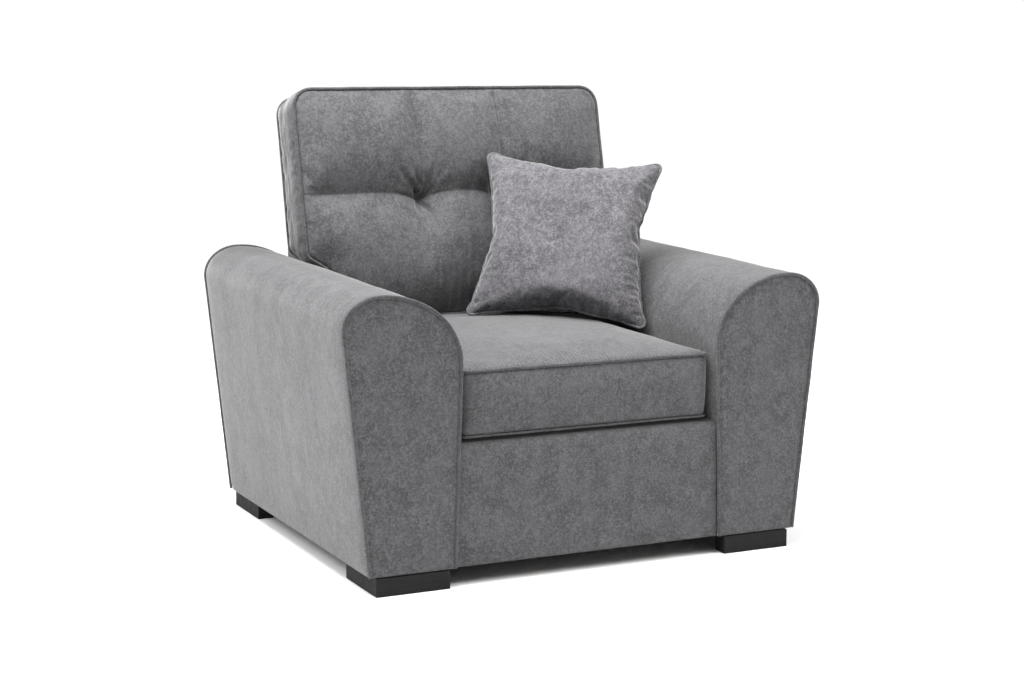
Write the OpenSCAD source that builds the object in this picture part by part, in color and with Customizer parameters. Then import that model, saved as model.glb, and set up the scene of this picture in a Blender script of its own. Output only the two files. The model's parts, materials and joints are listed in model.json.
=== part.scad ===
// Upholstered armchair with flared arms, loose seat and back cushions and a scatter cushion.
// Origin at the middle of the chair's footprint on the floor. Front towards -Y, up is +Z.

/* [Overall] */
// Width over the widest part of the arms
overall_w = 1100; // [950:10:1400]
// Depth from the front of the arms to the outside back
overall_d = 885; // [800:5:1000]
// Height of the underside of the upholstery, which is the height of the feet
base_z = 38; // [25:1:60]

/* [Arms] */
// Width of an arm from its inner face to its widest point
arm_w = 257; // [220:1:300]
// Height of the widest point of the arm's outer face
arm_widest_z = 533; // [500:1:560]
// Height of the crest of the arm at the front
arm_apex_z = 602; // [580:1:660]
// Height at which the arm's inner face starts to curve over
arm_inner_z = 457; // [430:1:480]
// Sideways distance of the arm's crest from its widest point
arm_apex_in = 81; // [60:1:110]
// How far the outer face leans in at the base
arm_out_lean = 52; // [20:1:80]
// How far the inner face leans in towards the base
arm_in_lean = 13; // [0:1:25]
// How much the crest rises from the front to the rear
arm_rise = 15; // [0:1:30]

/* [Upholstery] */
// Thickness of a fabric cover
cover_t = 3; // [2:0.5:4]
// Diameter of the piping
pipe_d = 7; // [5:0.5:9]
// How far piping stands proud of the cover beside it
pipe_proud = 2; // [1:0.5:3]
// Foam round an arm
arm_foam_t = 12; // [8:1:20]
// Foam on the front of an arm
arm_pad_t = 10; // [6:1:16]
// Foam on the front rail
rail_pad_t = 10; // [6:1:16]
// Foam on the inside back
back_pad_t = 12; // [8:1:16]
// Distance of the front panel behind the arm fronts
front_setback = 10; // [4:1:20]
// How far back the front panel runs over the rail
front_return = 105; // [80:5:140]
// Radius of the front panel's top edge
front_edge_r = 16; // [8:1:22]
// Thickness of the dust cover
dust_t = 2; // [1:0.5:3]
// Distance of the dust cover inside the arm faces
dust_in = 8; // [4:1:16]

/* [Frame] */
// Thickness of the arm's plywood boards
board_t = 18; // [12:1:24]
// Thickness of the bent board round the arm
wrap_t = 4; // [3:1:6]
// Thickness of the timber rails
rail_t = 25; // [18:1:32]
// Distance of the seat rails' inner faces inside the arms
seat_rail_w = 40; // [30:1:50]
// Height of the rails' top edge
rail_top = 274; // [250:1:300]
// Height of the seat rails
rail_h = 120; // [80:1:160]
// Size of the arm's long rails
arm_rail = 45; // [30:1:60]
// Side of a corner block
block = 60; // [40:1:80]
// How far the frame's back spreads over each arm
back_wing_over = 52; // [30:1:70]
// Height of the top of the frame's back
back_frame_z = 870; // [800:5:900]
// Width of a back post's lower end
post_d = 90; // [60:5:120]
// Height of a back rail
back_rail_h = 60; // [40:5:80]
// Height of the middle of the lumbar rail
lumbar_z = 500; // [440:5:560]
// Number of webbing straps in the back
web_n = 5; // [3:1:6]
// Width of a webbing strap
web_w = 50; // [40:5:60]
// Thickness of a webbing strap
web_t = 2; // [1:0.5:3]

/* [Springs] */
// Number of zig-zag springs
spring_n = 5; // [3:1:6]
// Width of the zig-zag
spring_w = 50; // [40:1:60]
// Thickness of the spring's wire
wire_t = 4; // [3:0.5:5]
// Radius of each turn of the zig-zag, to the middle of the wire
turn_r = 14; // [10:0.5:18]
// Thickness of a spring clip
clip_h = 3; // [2:0.5:4]
// Length of a spring clip
clip_l = 16; // [12:1:22]
// Thickness of the felt over the springs
felt_t = 7; // [5:1:10]

/* [Feet] */
// Length of a foot across the front
foot_w = 160; // [120:5:180]
// Length of a foot along the side
foot_l = 165; // [120:5:200]
// Thickness of each leg of the foot
foot_t = 37; // [30:1:45]
// Distance of a foot inside the arm's outer face
foot_in = 16; // [10:1:30]
// Distance of a foot behind the front of the arm
foot_setback = 2; // [2:1:20]
// Diameter of a foot screw
screw_d = 5; // [4:0.5:6]
// Diameter of a foot screw's head
screw_head_d = 10; // [8:0.5:12]
// Depth of the recess for a screw's head
screw_recess = 9; // [6:1:14]
// Height of a foot screw's head
screw_head_t = 4; // [3:0.5:5]
// How far a foot screw reaches above the foot
screw_reach = 24; // [16:1:30]
// Diameter of an arm bolt
bolt_d = 8; // [6:1:10]
// Diameter of an arm bolt's head and nut
bolt_head_d = 18; // [14:1:22]
// Thickness of an arm bolt's head and nut
bolt_head_t = 5; // [4:0.5:7]

/* [Seat cushion] */
// Distance of the seat cushion behind the arm fronts
seat_setback = 22; // [10:1:40]
// Height of the seat cushion's border
seat_border = 146; // [120:1:170]
// Crown of the seat cushion above its border
seat_crown = 27; // [10:1:40]
// Radius of the seat cushion's corners
seat_corner_r = 30; // [15:1:50]
// Gap between the seat cushion and each arm
seat_side_gap = 5; // [3:1:10]

/* [Back cushion] */
// Lean of the back
back_lean = 13; // [8:0.5:18]
// Distance from the back cushion's face, where it meets the seat, to the rear of the chair
back_room = 279; // [260:1:320]
// Thickness of the back cushion's border
back_border_t = 118; // [90:1:140]
// Crown of the back cushion in front of its border
back_crown = 22; // [8:1:35]
// Height of the back cushion's foot above the seat cushion's border
back_foot_rise = 24; // [22:1:30]
// Height of the back cushion's top edge
back_top_z = 982; // [900:1:1050]
// How far the back cushion's ears reach over each arm
back_ear_over = 95; // [70:1:120]
// Gap between the back cushion and the arms
back_arm_gap = 6; // [4:1:12]
// Radius of the back cushion's top corners
back_corner_r = 45; // [20:1:70]
// Distance of the tufts below the top edge
tuft_drop = 245; // [200:5:280]
// Distance of each tuft from the middle
tuft_x = 110; // [80:5:140]
// Diameter of a tuft tie
tuft_d = 4; // [3:0.5:6]

/* [Scatter cushion] */
// Side of the scatter cushion
scatter_w = 400; // [360:5:440]
// Thickness of the scatter cushion in the middle
scatter_t = 130; // [100:5:150]
// Thickness of the scatter cushion at its edge
scatter_edge_t = 14; // [10:1:20]
// Radius of the scatter cushion's corners
scatter_corner_r = 12; // [8:1:20]
// Turn of the scatter cushion towards the open side
scatter_turn = 32; // [20:1:40]
// Lean of the scatter cushion
scatter_lean = 29; // [20:1:35]
// Roll of the scatter cushion in its own plane
scatter_roll = 3.5; // [0:0.5:8]
// Distance of the scatter cushion's middle from the right arm
scatter_from_arm = 125; // [120:1:180]
// Distance of the scatter cushion's middle in front of the back cushion's face
scatter_from_back = 148; // [140:1:200]
// Height of the scatter cushion's middle above the seat cushion's crown
scatter_rise = 178; // [175:1:220]

/* [Zips] */
// Width of a zip's tape
zip_w = 24; // [18:1:30]
// Thickness of a zip's tape
zip_t = 1.5; // [1:0.5:2]
// Width of a zip's teeth
teeth_w = 5; // [4:0.5:7]
// How far the teeth stand out of the tape
teeth_t = 1; // [0.5:0.25:1.5]
// Length of the seat and back cushions' zips
zip_l = 480; // [300:10:500]
// Length of the scatter cushion's zip
scatter_zip_l = 300; // [200:10:320]
// Length of a zip slider
slider_l = 12; // [8:1:16]
// Width of a zip slider
slider_w = 9; // [7:0.5:12]
// Thickness of a zip slider
slider_t = 2; // [1.5:0.25:3]
// Length of a slider's pull
pull_l = 22; // [16:1:30]
// Thickness of a slider's pull
pull_t = 1; // [0.8:0.1:1.5]

/* [Hidden] */
$fn = 48;

// Colours
velvet = [0.47, 0.47, 0.48];
velvet_dark = [0.36, 0.36, 0.37];
velvet_light = [0.60, 0.59, 0.61];
timber = [0.80, 0.66, 0.46];
plywood = [0.72, 0.57, 0.40];
foam = [0.93, 0.91, 0.80];
felt = [0.62, 0.60, 0.56];
lining = [0.12, 0.12, 0.13];
steel = [0.62, 0.63, 0.65];
black = [0.06, 0.06, 0.06];

// Small clearances and working lengths
gap = 1;            // between a loose cushion and what it rests on
fit = 0.3;          // round a screw, bolt or tie in its hole
seam = 0.8;         // between an arm and what stands beside it
past = 40;          // how far cutting shapes run past what they cut
arc_n = 14;         // steps in a quarter of an arm's arch
corner_n = 5;       // steps in a round corner

// Arm outline, and the depth of each layer inside it
x_out = overall_w / 2;
x_in = x_out - arm_w;
x_apex = x_out - arm_apex_in;
y_front = -overall_d / 2;
y_rear = overall_d / 2;
arm_slope = atan(arm_rise / overall_d);
skin = pipe_proud;
under = skin + cover_t;
bone = under + arm_foam_t;
hollow = bone + wrap_t;

// Sideways place of an arm's outer and inner face at a height
function arm_x_out(z) = x_out - (arm_widest_z - z) * arm_out_lean / (arm_widest_z - base_z);
function arm_x_in(z) = x_in + (arm_inner_z - z) * arm_in_lean / (arm_inner_z - base_z);

// Layers of an arm along its length
y_panel = y_front + skin;
y_pad = y_front + pipe_d;
y_board = y_pad + arm_pad_t;
y_board_in = y_board + board_t;
y_rear_skin = y_rear - pipe_d;
y_rear_in = y_rear_skin - board_t;

// Seat deck, from the bottom up
body_z = base_z + dust_t;
rail_z = rail_top - rail_h;
clip_z = rail_top + wire_t;
felt_z = clip_z + clip_h;
deck_z = felt_z + felt_t;
deck_top = deck_z + cover_t;

// Front rail, from the front
y_front_cover = y_front + front_setback;
y_front_pad = y_front_cover + cover_t;
y_front_rail = y_front_pad + rail_pad_t;
y_rail_in = y_front_rail + rail_t;
y_return = y_front_cover + front_return;
seat_rail_in = x_in - seat_rail_w;

// Seat cushion
seat_half = x_in - seat_side_gap;
seat_z = deck_top + gap;
seat_edge_z = seat_z + seat_border;
seat_top = seat_edge_z + seat_crown;

// Inside back: where its face stands at a height, and layers parallel to it
back_face_y = y_rear - back_room;
function lean_y(z, deep = 0) = back_face_y + (back_border_t + 2 * gap + deep) / cos(back_lean)
    + (z - seat_top) * tan(back_lean);
post_x = x_in - seam - cover_t;
pad_deep = cover_t + back_pad_t;
y_rear_rail = lean_y(deck_top);
seat_y0 = y_front + seat_setback;
seat_y1 = lean_y(seat_z) - seat_side_gap;
seat_mid_y = (seat_y0 + seat_y1) / 2;
seat_half_y = (seat_y1 - seat_y0) / 2;

// Cushions: the cover lies inside the outer face of its piping by this much
lip = pipe_d / 2;
core = lip + cover_t;

// Back cushion, drawn upright with its foot at zero and then leaned
back_foot_z = seat_edge_z + back_foot_rise;
back_foot_y = back_face_y + (back_foot_z - seat_top) * tan(back_lean);
back_h = (back_top_z - back_foot_z) / cos(back_lean);
back_ear_x = x_in + back_ear_over;

// Scatter cushion
scatter_place = [x_in - scatter_from_arm, back_face_y - scatter_from_back, seat_top + scatter_rise];
scatter_crown = (scatter_t - scatter_edge_t) / 2;
scatter_zip_w = zip_w / 2;

// ---------------------------------------------------------------- outlines

// Points along part of an ellipse
function arch(cx, cz, a, b, from, to, n) =
    [for (i = [0:n]) let (t = from + (to - from) * i / n) [cx + a * cos(t), cz + b * sin(t)]];

// Section of the right arm, drawn in by a depth and left open below the base
function arm_outline(deep) = concat(
    [[arm_x_in(0) + deep, 0], [arm_x_out(0) - deep, 0]],
    arch(x_apex, arm_widest_z, arm_apex_in - deep, arm_apex_z - arm_widest_z - deep, 0, 90, arc_n),
    arch(x_apex, arm_inner_z, arm_w - arm_apex_in - deep, arm_apex_z - arm_inner_z - deep, 90, 180, arc_n));

// Rectangle about the middle with round corners
function round_rect(half, y0, y1, r) = concat(
    arch(half - r, y1 - r, r, r, 0, 90, corner_n), arch(-half + r, y1 - r, r, r, 90, 180, corner_n),
    arch(-half + r, y0 + r, r, r, 180, 270, corner_n), arch(half - r, y0 + r, r, r, 270, 360, corner_n));

// Radius of a crown over a half span
function crown_r(half, crown) = (half * half + crown * crown) / (2 * crown);

// Extrude an outline drawn in X and Z from one depth to another
module along_y(y0, y1) {
    translate([0, y1, 0]) rotate([90, 0, 0]) linear_extrude(y1 - y0) children();
}

// Extrude an outline drawn in Y and Z across the chair
module along_x(x0, x1) {
    translate([x0, 0, 0]) rotate([90, 0, 90]) linear_extrude(x1 - x0) children();
}

// Box between two corners
module block_between(a, b) {
    translate(a) cube(b - a);
}

// Children on the right and, mirrored, on the left
module both_sides() {
    children();
    mirror([1, 0, 0]) children();
}

// Outline of the space between the arms from one height to another
module between_arms(z0, z1) {
    polygon([[-arm_x_in(z0) - skin + seam, z0], [arm_x_in(z0) + skin - seam, z0],
        [arm_x_in(z1) + skin - seam, z1], [-arm_x_in(z1) - skin + seam, z1]]);
}

// ---------------------------------------------------------------- fastenings

bolt_z = rail_top - rail_h / 2;
bolt_ys = [y_rail_in + block + bolt_head_d, y_rear_rail - block - bolt_head_d];
bolt_end_x = arm_x_in(bolt_z) + hollow + rail_t;
foot_x = arm_x_out(base_z) - foot_in;
foot_y = y_front + foot_setback;

// Places of a foot's screws: two through the arm's end board, one through its outer rail
function screw_places(board_y) = [[foot_x - foot_w + foot_t, board_y], [foot_x - foot_t / 2, board_y],
    [foot_x - foot_t / 2, foot_y + foot_l - foot_t]];
front_screws = screw_places(y_board + board_t / 2);
rear_screws = screw_places(y_front + pipe_d + board_t / 2);

// Holes for the right arm's bolts
module bolt_holes() {
    for (y = bolt_ys)
        translate([seat_rail_in - past, y, bolt_z]) rotate([0, 90, 0])
            cylinder(d = bolt_d + 2 * fit, h = bolt_end_x - seat_rail_in + 2 * past);
}

// Holes above the right feet for their screws
module screw_holes() {
    for (p = concat(front_screws, [for (q = rear_screws) [q[0], -q[1]]]))
        translate([p[0], p[1], base_z - 1]) cylinder(d = screw_d + 2 * fit, h = screw_reach + 2);
}

// Bolts through the seat rails into the arms, each with its head and its nut
module arm_bolts() {
    color(steel) both_sides() for (y = bolt_ys)
        translate([seat_rail_in - bolt_head_t, y, bolt_z]) rotate([0, 90, 0]) {
            cylinder(d = bolt_head_d, h = bolt_head_t);
            cylinder(d = bolt_d, h = bolt_end_x - seat_rail_in + 2 * bolt_head_t);
            translate([0, 0, bolt_end_x - seat_rail_in + bolt_head_t])
                cylinder(d = bolt_head_d, h = bolt_head_t);
        }
}

// Screws up through the right feet at one end
module screws_at(places) {
    for (p = places) translate([p[0], p[1], screw_recess - screw_head_t]) {
        cylinder(d = screw_head_d, h = screw_head_t);
        cylinder(d = screw_d, h = base_z + screw_reach - screw_recess + screw_head_t);
    }
}
module foot_screws() {
    color(steel) both_sides() {
        screws_at(front_screws);
        mirror([0, 1, 0]) screws_at(rear_screws);
    }
}

// ---------------------------------------------------------------- feet

// Corner foot with one leg along the front and one along the side
module foot(screws) {
    color(black) difference() {
        linear_extrude(base_z) polygon([[foot_x, foot_y], [foot_x - foot_w, foot_y],
            [foot_x - foot_w, foot_y + foot_t], [foot_x - foot_t, foot_y + foot_t],
            [foot_x - foot_t, foot_y + foot_l], [foot_x, foot_y + foot_l]]);
        for (p = screws) translate([p[0], p[1], 0]) {
            translate([0, 0, -1]) cylinder(d = screw_d + 2 * fit, h = base_z + 2);
            translate([0, 0, -1]) cylinder(d = screw_head_d + 2 * fit, h = screw_recess + 1);
        }
    }
}
module foot_front_right() { foot(front_screws); }
module foot_front_left() { mirror([1, 0, 0]) foot(front_screws); }
module foot_rear_right() { mirror([0, 1, 0]) foot(rear_screws); }
module foot_rear_left() { mirror([1, 0, 0]) mirror([0, 1, 0]) foot(rear_screws); }

// ---------------------------------------------------------------- arms

// Prism of the right arm drawn in by a depth, run past both ends and below the base
module arm_prism(deep) {
    translate([0, y_front, base_z]) rotate([arm_slope, 0, 0]) translate([0, -y_front, -base_z])
        along_y(y_front - past, y_rear + past) polygon(arm_outline(deep));
}

// The same solid cut off level at the bottom and between two planes across its length
module arm_solid(deep, y0, y1) {
    intersection() {
        arm_prism(deep);
        block_between([0, y0, body_z], [x_out + past, y1, arm_apex_z + arm_rise + past]);
    }
}

// Shell of the right arm between two depths, open at both ends and below
module arm_shell(outer, inner, y0, y1) {
    difference() {
        arm_solid(outer, y0, y1);
        arm_prism(inner);
    }
}

module arm_front_board_right() {
    color(plywood) difference() {
        arm_solid(bone, y_board, y_board_in);
        screw_holes();
    }
}
module arm_rear_board_right() {
    color(plywood) difference() {
        arm_solid(bone, y_rear_in, y_rear_skin);
        screw_holes();
    }
}
module arm_front_pad_right() { color(foam) arm_solid(under, y_pad, y_board); }
module arm_front_panel_right() { color(velvet_dark) arm_solid(pipe_d, y_panel, y_pad); }

// Piping round the front and the rear edge of the right arm
module arm_piping_right() {
    color(velvet_dark) {
        arm_shell(0, pipe_d, y_front, y_pad);
        arm_shell(0, pipe_d, y_rear_skin, y_rear);
    }
}
module arm_cover_right() {
    color(velvet) difference() {
        arm_shell(skin, under, y_pad, y_rear_skin);
        bolt_holes();
    }
}
module arm_foam_right() {
    color(foam) difference() {
        arm_shell(under, bone, y_board, y_rear_skin);
        bolt_holes();
    }
}
module arm_wrap_board_right() {
    color(plywood) difference() {
        arm_shell(bone, hollow, y_board_in, y_rear_in);
        bolt_holes();
    }
}

// Long rails inside the right arm: under the crest, at the outer foot and beside the seat rail
module arm_rails_right() {
    crest_z = arm_apex_z - hollow - arm_rail;
    outer_x = arm_x_out(body_z) - hollow - arm_rail;
    color(timber) difference() {
        intersection() {
            arm_solid(hollow, y_board_in, y_rear_in);
            union() {
                block_between([x_apex - arm_rail, y_board_in, crest_z],
                    [x_apex + arm_rail / 2, y_rear_in, arm_apex_z + past]);
                block_between([outer_x, y_board_in, body_z], [x_out, y_rear_in, body_z + arm_rail]);
                block_between([0, y_board_in, rail_z], [bolt_end_x, y_rear_in, rail_top]);
            }
        }
        bolt_holes();
        screw_holes();
    }
}

module arm_front_board_left() { mirror([1, 0, 0]) arm_front_board_right(); }
module arm_rear_board_left() { mirror([1, 0, 0]) arm_rear_board_right(); }
module arm_front_pad_left() { mirror([1, 0, 0]) arm_front_pad_right(); }
module arm_front_panel_left() { mirror([1, 0, 0]) arm_front_panel_right(); }
module arm_piping_left() { mirror([1, 0, 0]) arm_piping_right(); }
module arm_cover_left() { mirror([1, 0, 0]) arm_cover_right(); }
module arm_foam_left() { mirror([1, 0, 0]) arm_foam_right(); }
module arm_wrap_board_left() { mirror([1, 0, 0]) arm_wrap_board_right(); }
module arm_rails_left() { mirror([1, 0, 0]) arm_rails_right(); }

// ---------------------------------------------------------------- base

module front_rail() {
    color(timber) block_between([-post_x, y_front_rail, body_z], [post_x, y_rail_in, rail_top]);
}
module rear_rail() {
    color(timber) block_between([-seat_rail_in, y_rear_rail, rail_z],
        [seat_rail_in, y_rear_rail + rail_t, rail_top]);
}

// Side rails whose outer faces follow the arms
module seat_rails() {
    color(timber) difference() {
        both_sides() along_y(y_rail_in, y_rear_skin - post_d) intersection() {
            between_arms(rail_z, rail_top);
            translate([seat_rail_in, rail_z]) square([arm_w, rail_h]);
        }
        both_sides() bolt_holes();
    }
}

// Triangular blocks in the corners of the base
module corner_blocks() {
    color(timber) both_sides() for (end = [[y_rail_in, 1], [y_rear_rail, -1]])
        translate([0, 0, rail_z]) linear_extrude(rail_h / 3) polygon([[seat_rail_in, end[0]],
            [seat_rail_in - block, end[0]], [seat_rail_in, end[0] + end[1] * block]]);
}

// Zig-zag spring along the seat: half turns joined by straights, bent from one wire
clip_ys = [y_front_rail + rail_t / 2, y_rear_rail + rail_t / 2];
spring_y0 = clip_ys[0] - clip_l / 2;
spring_y1 = clip_ys[1] + clip_l / 2;
turn_n = floor((spring_y1 - spring_y0) / (2 * turn_r));
spring_start = (spring_y0 + spring_y1) / 2 - (turn_n - 1) * turn_r;
spring_step = 2 * (seat_rail_in - spring_w) / spring_n;
spring_xs = [for (i = [0:spring_n - 1]) (i - (spring_n - 1) / 2) * spring_step];
function turn_side(offset, i) = let (side = i % 2 == 0 ? 1 : -1, r = turn_r + side * offset)
    [for (a = [-90:60:90])
        [side * (spring_w / 2 - turn_r + r * cos(a)), spring_start + i * 2 * turn_r + r * sin(a)]];
module zigzag() {
    right = [for (i = [0:turn_n - 1]) each turn_side(wire_t / 2, i)];
    left = [for (i = [0:turn_n - 1]) each turn_side(-wire_t / 2, i)];
    polygon(concat(right, [for (k = [len(left) - 1:-1:0]) left[k]]));
}
module seat_springs() {
    color(steel) for (x = spring_xs) translate([x, 0, rail_top]) linear_extrude(wire_t) zigzag();
}
module spring_clips() {
    color(steel) for (x = spring_xs) for (y = clip_ys)
        translate([x - spring_w / 2, y - clip_l / 2, clip_z]) cube([spring_w, clip_l, clip_h]);
}
module spring_felt() {
    color(felt) block_between([-seat_rail_in, y_front_cover + front_edge_r, felt_z],
        [seat_rail_in, lean_y(felt_z) - gap, deck_z]);
}
module deck_cloth() {
    color(lining) along_y(y_return, lean_y(deck_z) - gap) between_arms(deck_z, deck_top);
}

// Section of the front panel: up the front, round the edge and back over the rail
function front_section(deep) = let (r = front_edge_r - deep)
    concat([[y_front_cover + deep, body_z]],
        arch(y_front_cover + front_edge_r, deck_top - front_edge_r, r, r, 180, 90, corner_n),
        [[y_return, deck_top - deep]]);
module front_rail_cover() {
    inner = front_section(cover_t);
    color(velvet_dark) intersection() {
        along_x(-x_out, x_out)
            polygon(concat(front_section(0), [for (k = [len(inner) - 1:-1:0]) inner[k]]));
        along_y(y_front, y_rear) between_arms(body_z, deck_top);
    }
}
module front_rail_pad() {
    edge = front_edge_r - cover_t;
    edge_y = y_front_cover + front_edge_r;
    color(foam) along_x(-post_x, post_x) polygon(concat(
        [[y_front_rail, body_z], [y_front_pad, body_z]],
        arch(edge_y, deck_z - edge, edge, edge, 180, 90, corner_n),
        [[edge_y, rail_top], [y_front_rail, rail_top]]));
}
module dust_cover() {
    half = arm_x_out(base_z) - dust_in;
    color(lining) difference() {
        block_between([-half, y_front_cover + dust_in, base_z], [half, y_rear_skin, body_z]);
        both_sides() screw_holes();
    }
}

// ---------------------------------------------------------------- back of the frame

// Everything behind a plane parallel to the inside back, up to a plane across the chair
module behind(deep, y1, z0, z1) {
    along_x(-x_out, x_out) polygon([[lean_y(z0, deep), z0], [y1, z0], [y1, z1], [lean_y(z1, deep), z1]]);
}

// Layer parallel to the inside back
module layer(deep0, deep1, z0, z1) {
    along_x(-x_out, x_out) polygon([[lean_y(z0, deep0), z0], [lean_y(z0, deep1), z0],
        [lean_y(z1, deep1), z1], [lean_y(z1, deep0), z1]]);
}

// Upright block as wide as the back, drawn in by a depth and cut to pass between and over the arms
module back_block(deep, z0) {
    half = x_in + back_wing_over - deep;
    difference() {
        block_between([-half, 0, z0], [half, y_rear, back_frame_z - deep]);
        both_sides() arm_prism(-seam - deep);
    }
}

module back_posts() {
    front = pad_deep + web_t;
    top = back_frame_z - cover_t;
    color(timber) both_sides() along_x(post_x - rail_t, post_x) polygon([
        [y_rear_skin - post_d, body_z], [y_rear_skin, body_z], [y_rear_skin, top], [lean_y(top, front), top],
        [lean_y(rail_top, front), rail_top], [y_rear_skin - post_d, rail_top]]);
}
module back_rails() {
    half = post_x - rail_t;
    top = back_frame_z - cover_t;
    color(timber) for (z = [rail_top - back_rail_h, lumbar_z - back_rail_h / 2, top - back_rail_h])
        block_between([-half, y_rear_skin - rail_t, z], [half, y_rear_skin, z + back_rail_h]);
}

// Blocks that widen the back above the arms
module back_wings() {
    z0 = arm_apex_z + arm_rise;
    color(timber) intersection() {
        back_block(cover_t, z0);
        behind(pad_deep, y_rear_skin, z0, back_frame_z);
        both_sides() block_between([post_x, 0, z0], [x_out, y_rear, back_frame_z]);
    }
}
module back_webbing() {
    web_z0 = deck_top + web_w;
    web_step = (back_frame_z - 2 * web_w - web_z0) / web_n;
    color(lining) for (i = [0:web_n - 1]) let (z = web_z0 + (i + 0.5) * web_step) intersection() {
        layer(pad_deep, pad_deep + web_t, z, z + web_w);
        block_between([-post_x, 0, 0], [post_x, y_rear, back_frame_z]);
    }
}
module inside_back_pad() {
    color(foam) intersection() {
        back_block(cover_t, deck_top);
        layer(cover_t, pad_deep, deck_top, back_frame_z);
    }
}
module inside_back_cover() {
    color(velvet_dark) intersection() {
        back_block(0, deck_top);
        layer(0, cover_t, deck_top, back_frame_z);
    }
}
module back_border() {
    color(velvet) intersection() {
        difference() {
            back_block(0, deck_top);
            back_block(cover_t, deck_top - past);
        }
        behind(cover_t, y_rear_skin, deck_top, back_frame_z);
    }
}

// Panels across the rear: one behind the back and one behind each arm
module outside_back_cover() {
    color(velvet_dark) {
        intersection() {
            back_block(0, body_z);
            block_between([-x_out, y_rear_skin, body_z], [x_out, y_rear - skin, back_frame_z]);
        }
        both_sides() arm_solid(pipe_d, y_rear_skin, y_rear - skin);
    }
}

// ---------------------------------------------------------------- zips

// Zip along X, its outer face towards +Y at zero
module zip(length, width) {
    color(lining) {
        translate([-length / 2, -zip_t, -width / 2]) cube([length, zip_t, width]);
        translate([-length / 2, 0, -teeth_w / 2]) cube([length, teeth_t, teeth_w]);
    }
}

// Slider at the closed end of a zip, with its pull lying along the teeth
module slider(length) {
    x1 = length / 2 - slider_l;
    y0 = teeth_t + fit;
    color(steel) union() {
        translate([x1, y0, -slider_w / 2]) cube([slider_l, slider_t, slider_w]);
        translate([x1 + slider_l / 2 - pull_l, y0 + slider_t, -slider_w / 4])
            cube([pull_l, pull_t, slider_w / 2]);
    }
}

// Slot that a zip fills in a cover
module zip_slot(length, width) {
    translate([-length / 2, -cover_t - 1, -width / 2]) cube([length, cover_t + 2, width]);
}

// ---------------------------------------------------------------- seat cushion

// Seat cushion drawn in by a depth: a box under two crossing crowns
module seat_body(deep) {
    rx = crown_r(seat_half, seat_crown);
    ry = crown_r(seat_half_y, seat_crown);
    intersection() {
        translate([0, 0, seat_z + deep]) linear_extrude(seat_top - seat_z - 2 * deep + lip)
            polygon(round_rect(seat_half - deep, seat_y0 + deep, seat_y1 - deep, seat_corner_r - deep));
        translate([0, seat_y0 - past, seat_top + lip - rx]) rotate([-90, 0, 0])
            cylinder(r = rx - deep, h = seat_y1 - seat_y0 + 2 * past, $fn = 180);
        translate([-x_in, seat_mid_y, seat_top + lip - ry]) rotate([0, 90, 0])
            cylinder(r = ry - deep, h = 2 * x_in, $fn = 180);
    }
}
module seat_zip_place() {
    translate([0, seat_y1 - lip, seat_z + seat_border / 2]) children();
}
module seat_cushion_core() { color(foam) seat_body(core); }
module seat_cushion_cover() {
    color(velvet) difference() {
        seat_body(lip);
        seat_body(core);
        seat_zip_place() zip_slot(zip_l, zip_w);
    }
}
module seat_cushion_piping() {
    color(velvet_dark) for (z = [seat_z, seat_edge_z - pipe_d]) translate([0, 0, z]) linear_extrude(pipe_d)
        difference() {
            polygon(round_rect(seat_half, seat_y0, seat_y1, seat_corner_r));
            polygon(round_rect(seat_half - lip, seat_y0 + lip, seat_y1 - lip, seat_corner_r - lip));
        }
}
module seat_zip() { seat_zip_place() zip(zip_l, zip_w); }
module seat_zip_slider() { seat_zip_place() slider(zip_l); }

// ---------------------------------------------------------------- back cushion

// Lean what is drawn upright with its foot at zero
module back_place() {
    translate([0, back_foot_y, back_foot_z]) rotate([-back_lean, 0, 0]) children();
}

// Slab of the back cushion between two depths, cut to sit between and over the arms
module back_slab(deep, y0, y1) {
    difference() {
        back_place() along_y(y0, y1)
            polygon(round_rect(back_ear_x - deep, deep, back_h - deep, back_corner_r - deep));
        both_sides() arm_prism(-back_arm_gap - deep);
    }
}

// Back cushion drawn in by a depth: a slab with a crowned face
module back_body(deep) {
    rx = crown_r(back_ear_x, back_crown);
    rz = crown_r(back_h / 2, back_crown);
    intersection() {
        back_slab(deep, -back_crown, back_border_t - deep);
        back_place() translate([0, rx - back_crown, -past])
            cylinder(r = rx - deep, h = back_h + 2 * past, $fn = 180);
        back_place() translate([-x_out, rz - back_crown, back_h / 2]) rotate([0, 90, 0])
            cylinder(r = rz - deep, h = overall_w, $fn = 180);
    }
}
module back_piping_ring(y) {
    difference() {
        back_slab(0, y, y + pipe_d);
        back_slab(lip, y - 1, y + pipe_d + 1);
    }
}
module tuft_holes(d, y0, y1) {
    back_place() for (x = [-tuft_x, tuft_x])
        translate([x, y1, back_h - tuft_drop]) rotate([90, 0, 0]) cylinder(d = d, h = y1 - y0);
}

// The zip's outer face looks down out of the cushion's foot
module back_zip_place() {
    back_place() translate([0, back_border_t / 2, lip]) rotate([-90, 0, 0]) children();
}
module back_cushion_fill() {
    color(foam) difference() {
        back_body(core);
        tuft_holes(tuft_d + 2 * fit, -back_crown - past, back_border_t + past);
    }
}
module back_cushion_cover() {
    color(velvet) difference() {
        back_body(lip);
        back_body(core);
        back_zip_place() zip_slot(zip_l, zip_w);
    }
}
module back_cushion_piping() {
    color(velvet_dark) {
        back_piping_ring(0);
        back_piping_ring(back_border_t - pipe_d);
    }
}
module back_tuft_ties() { color(lining) tuft_holes(tuft_d, core, back_border_t - core); }
module back_zip() { back_zip_place() zip(zip_l, zip_w); }
module back_zip_slider() { back_zip_place() slider(zip_l); }

// ---------------------------------------------------------------- scatter cushion

module scatter_at() {
    translate(scatter_place) rotate([0, 0, -scatter_turn]) rotate([-scatter_lean, 0, 0])
        rotate([0, scatter_roll, 0]) children();
}

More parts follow.
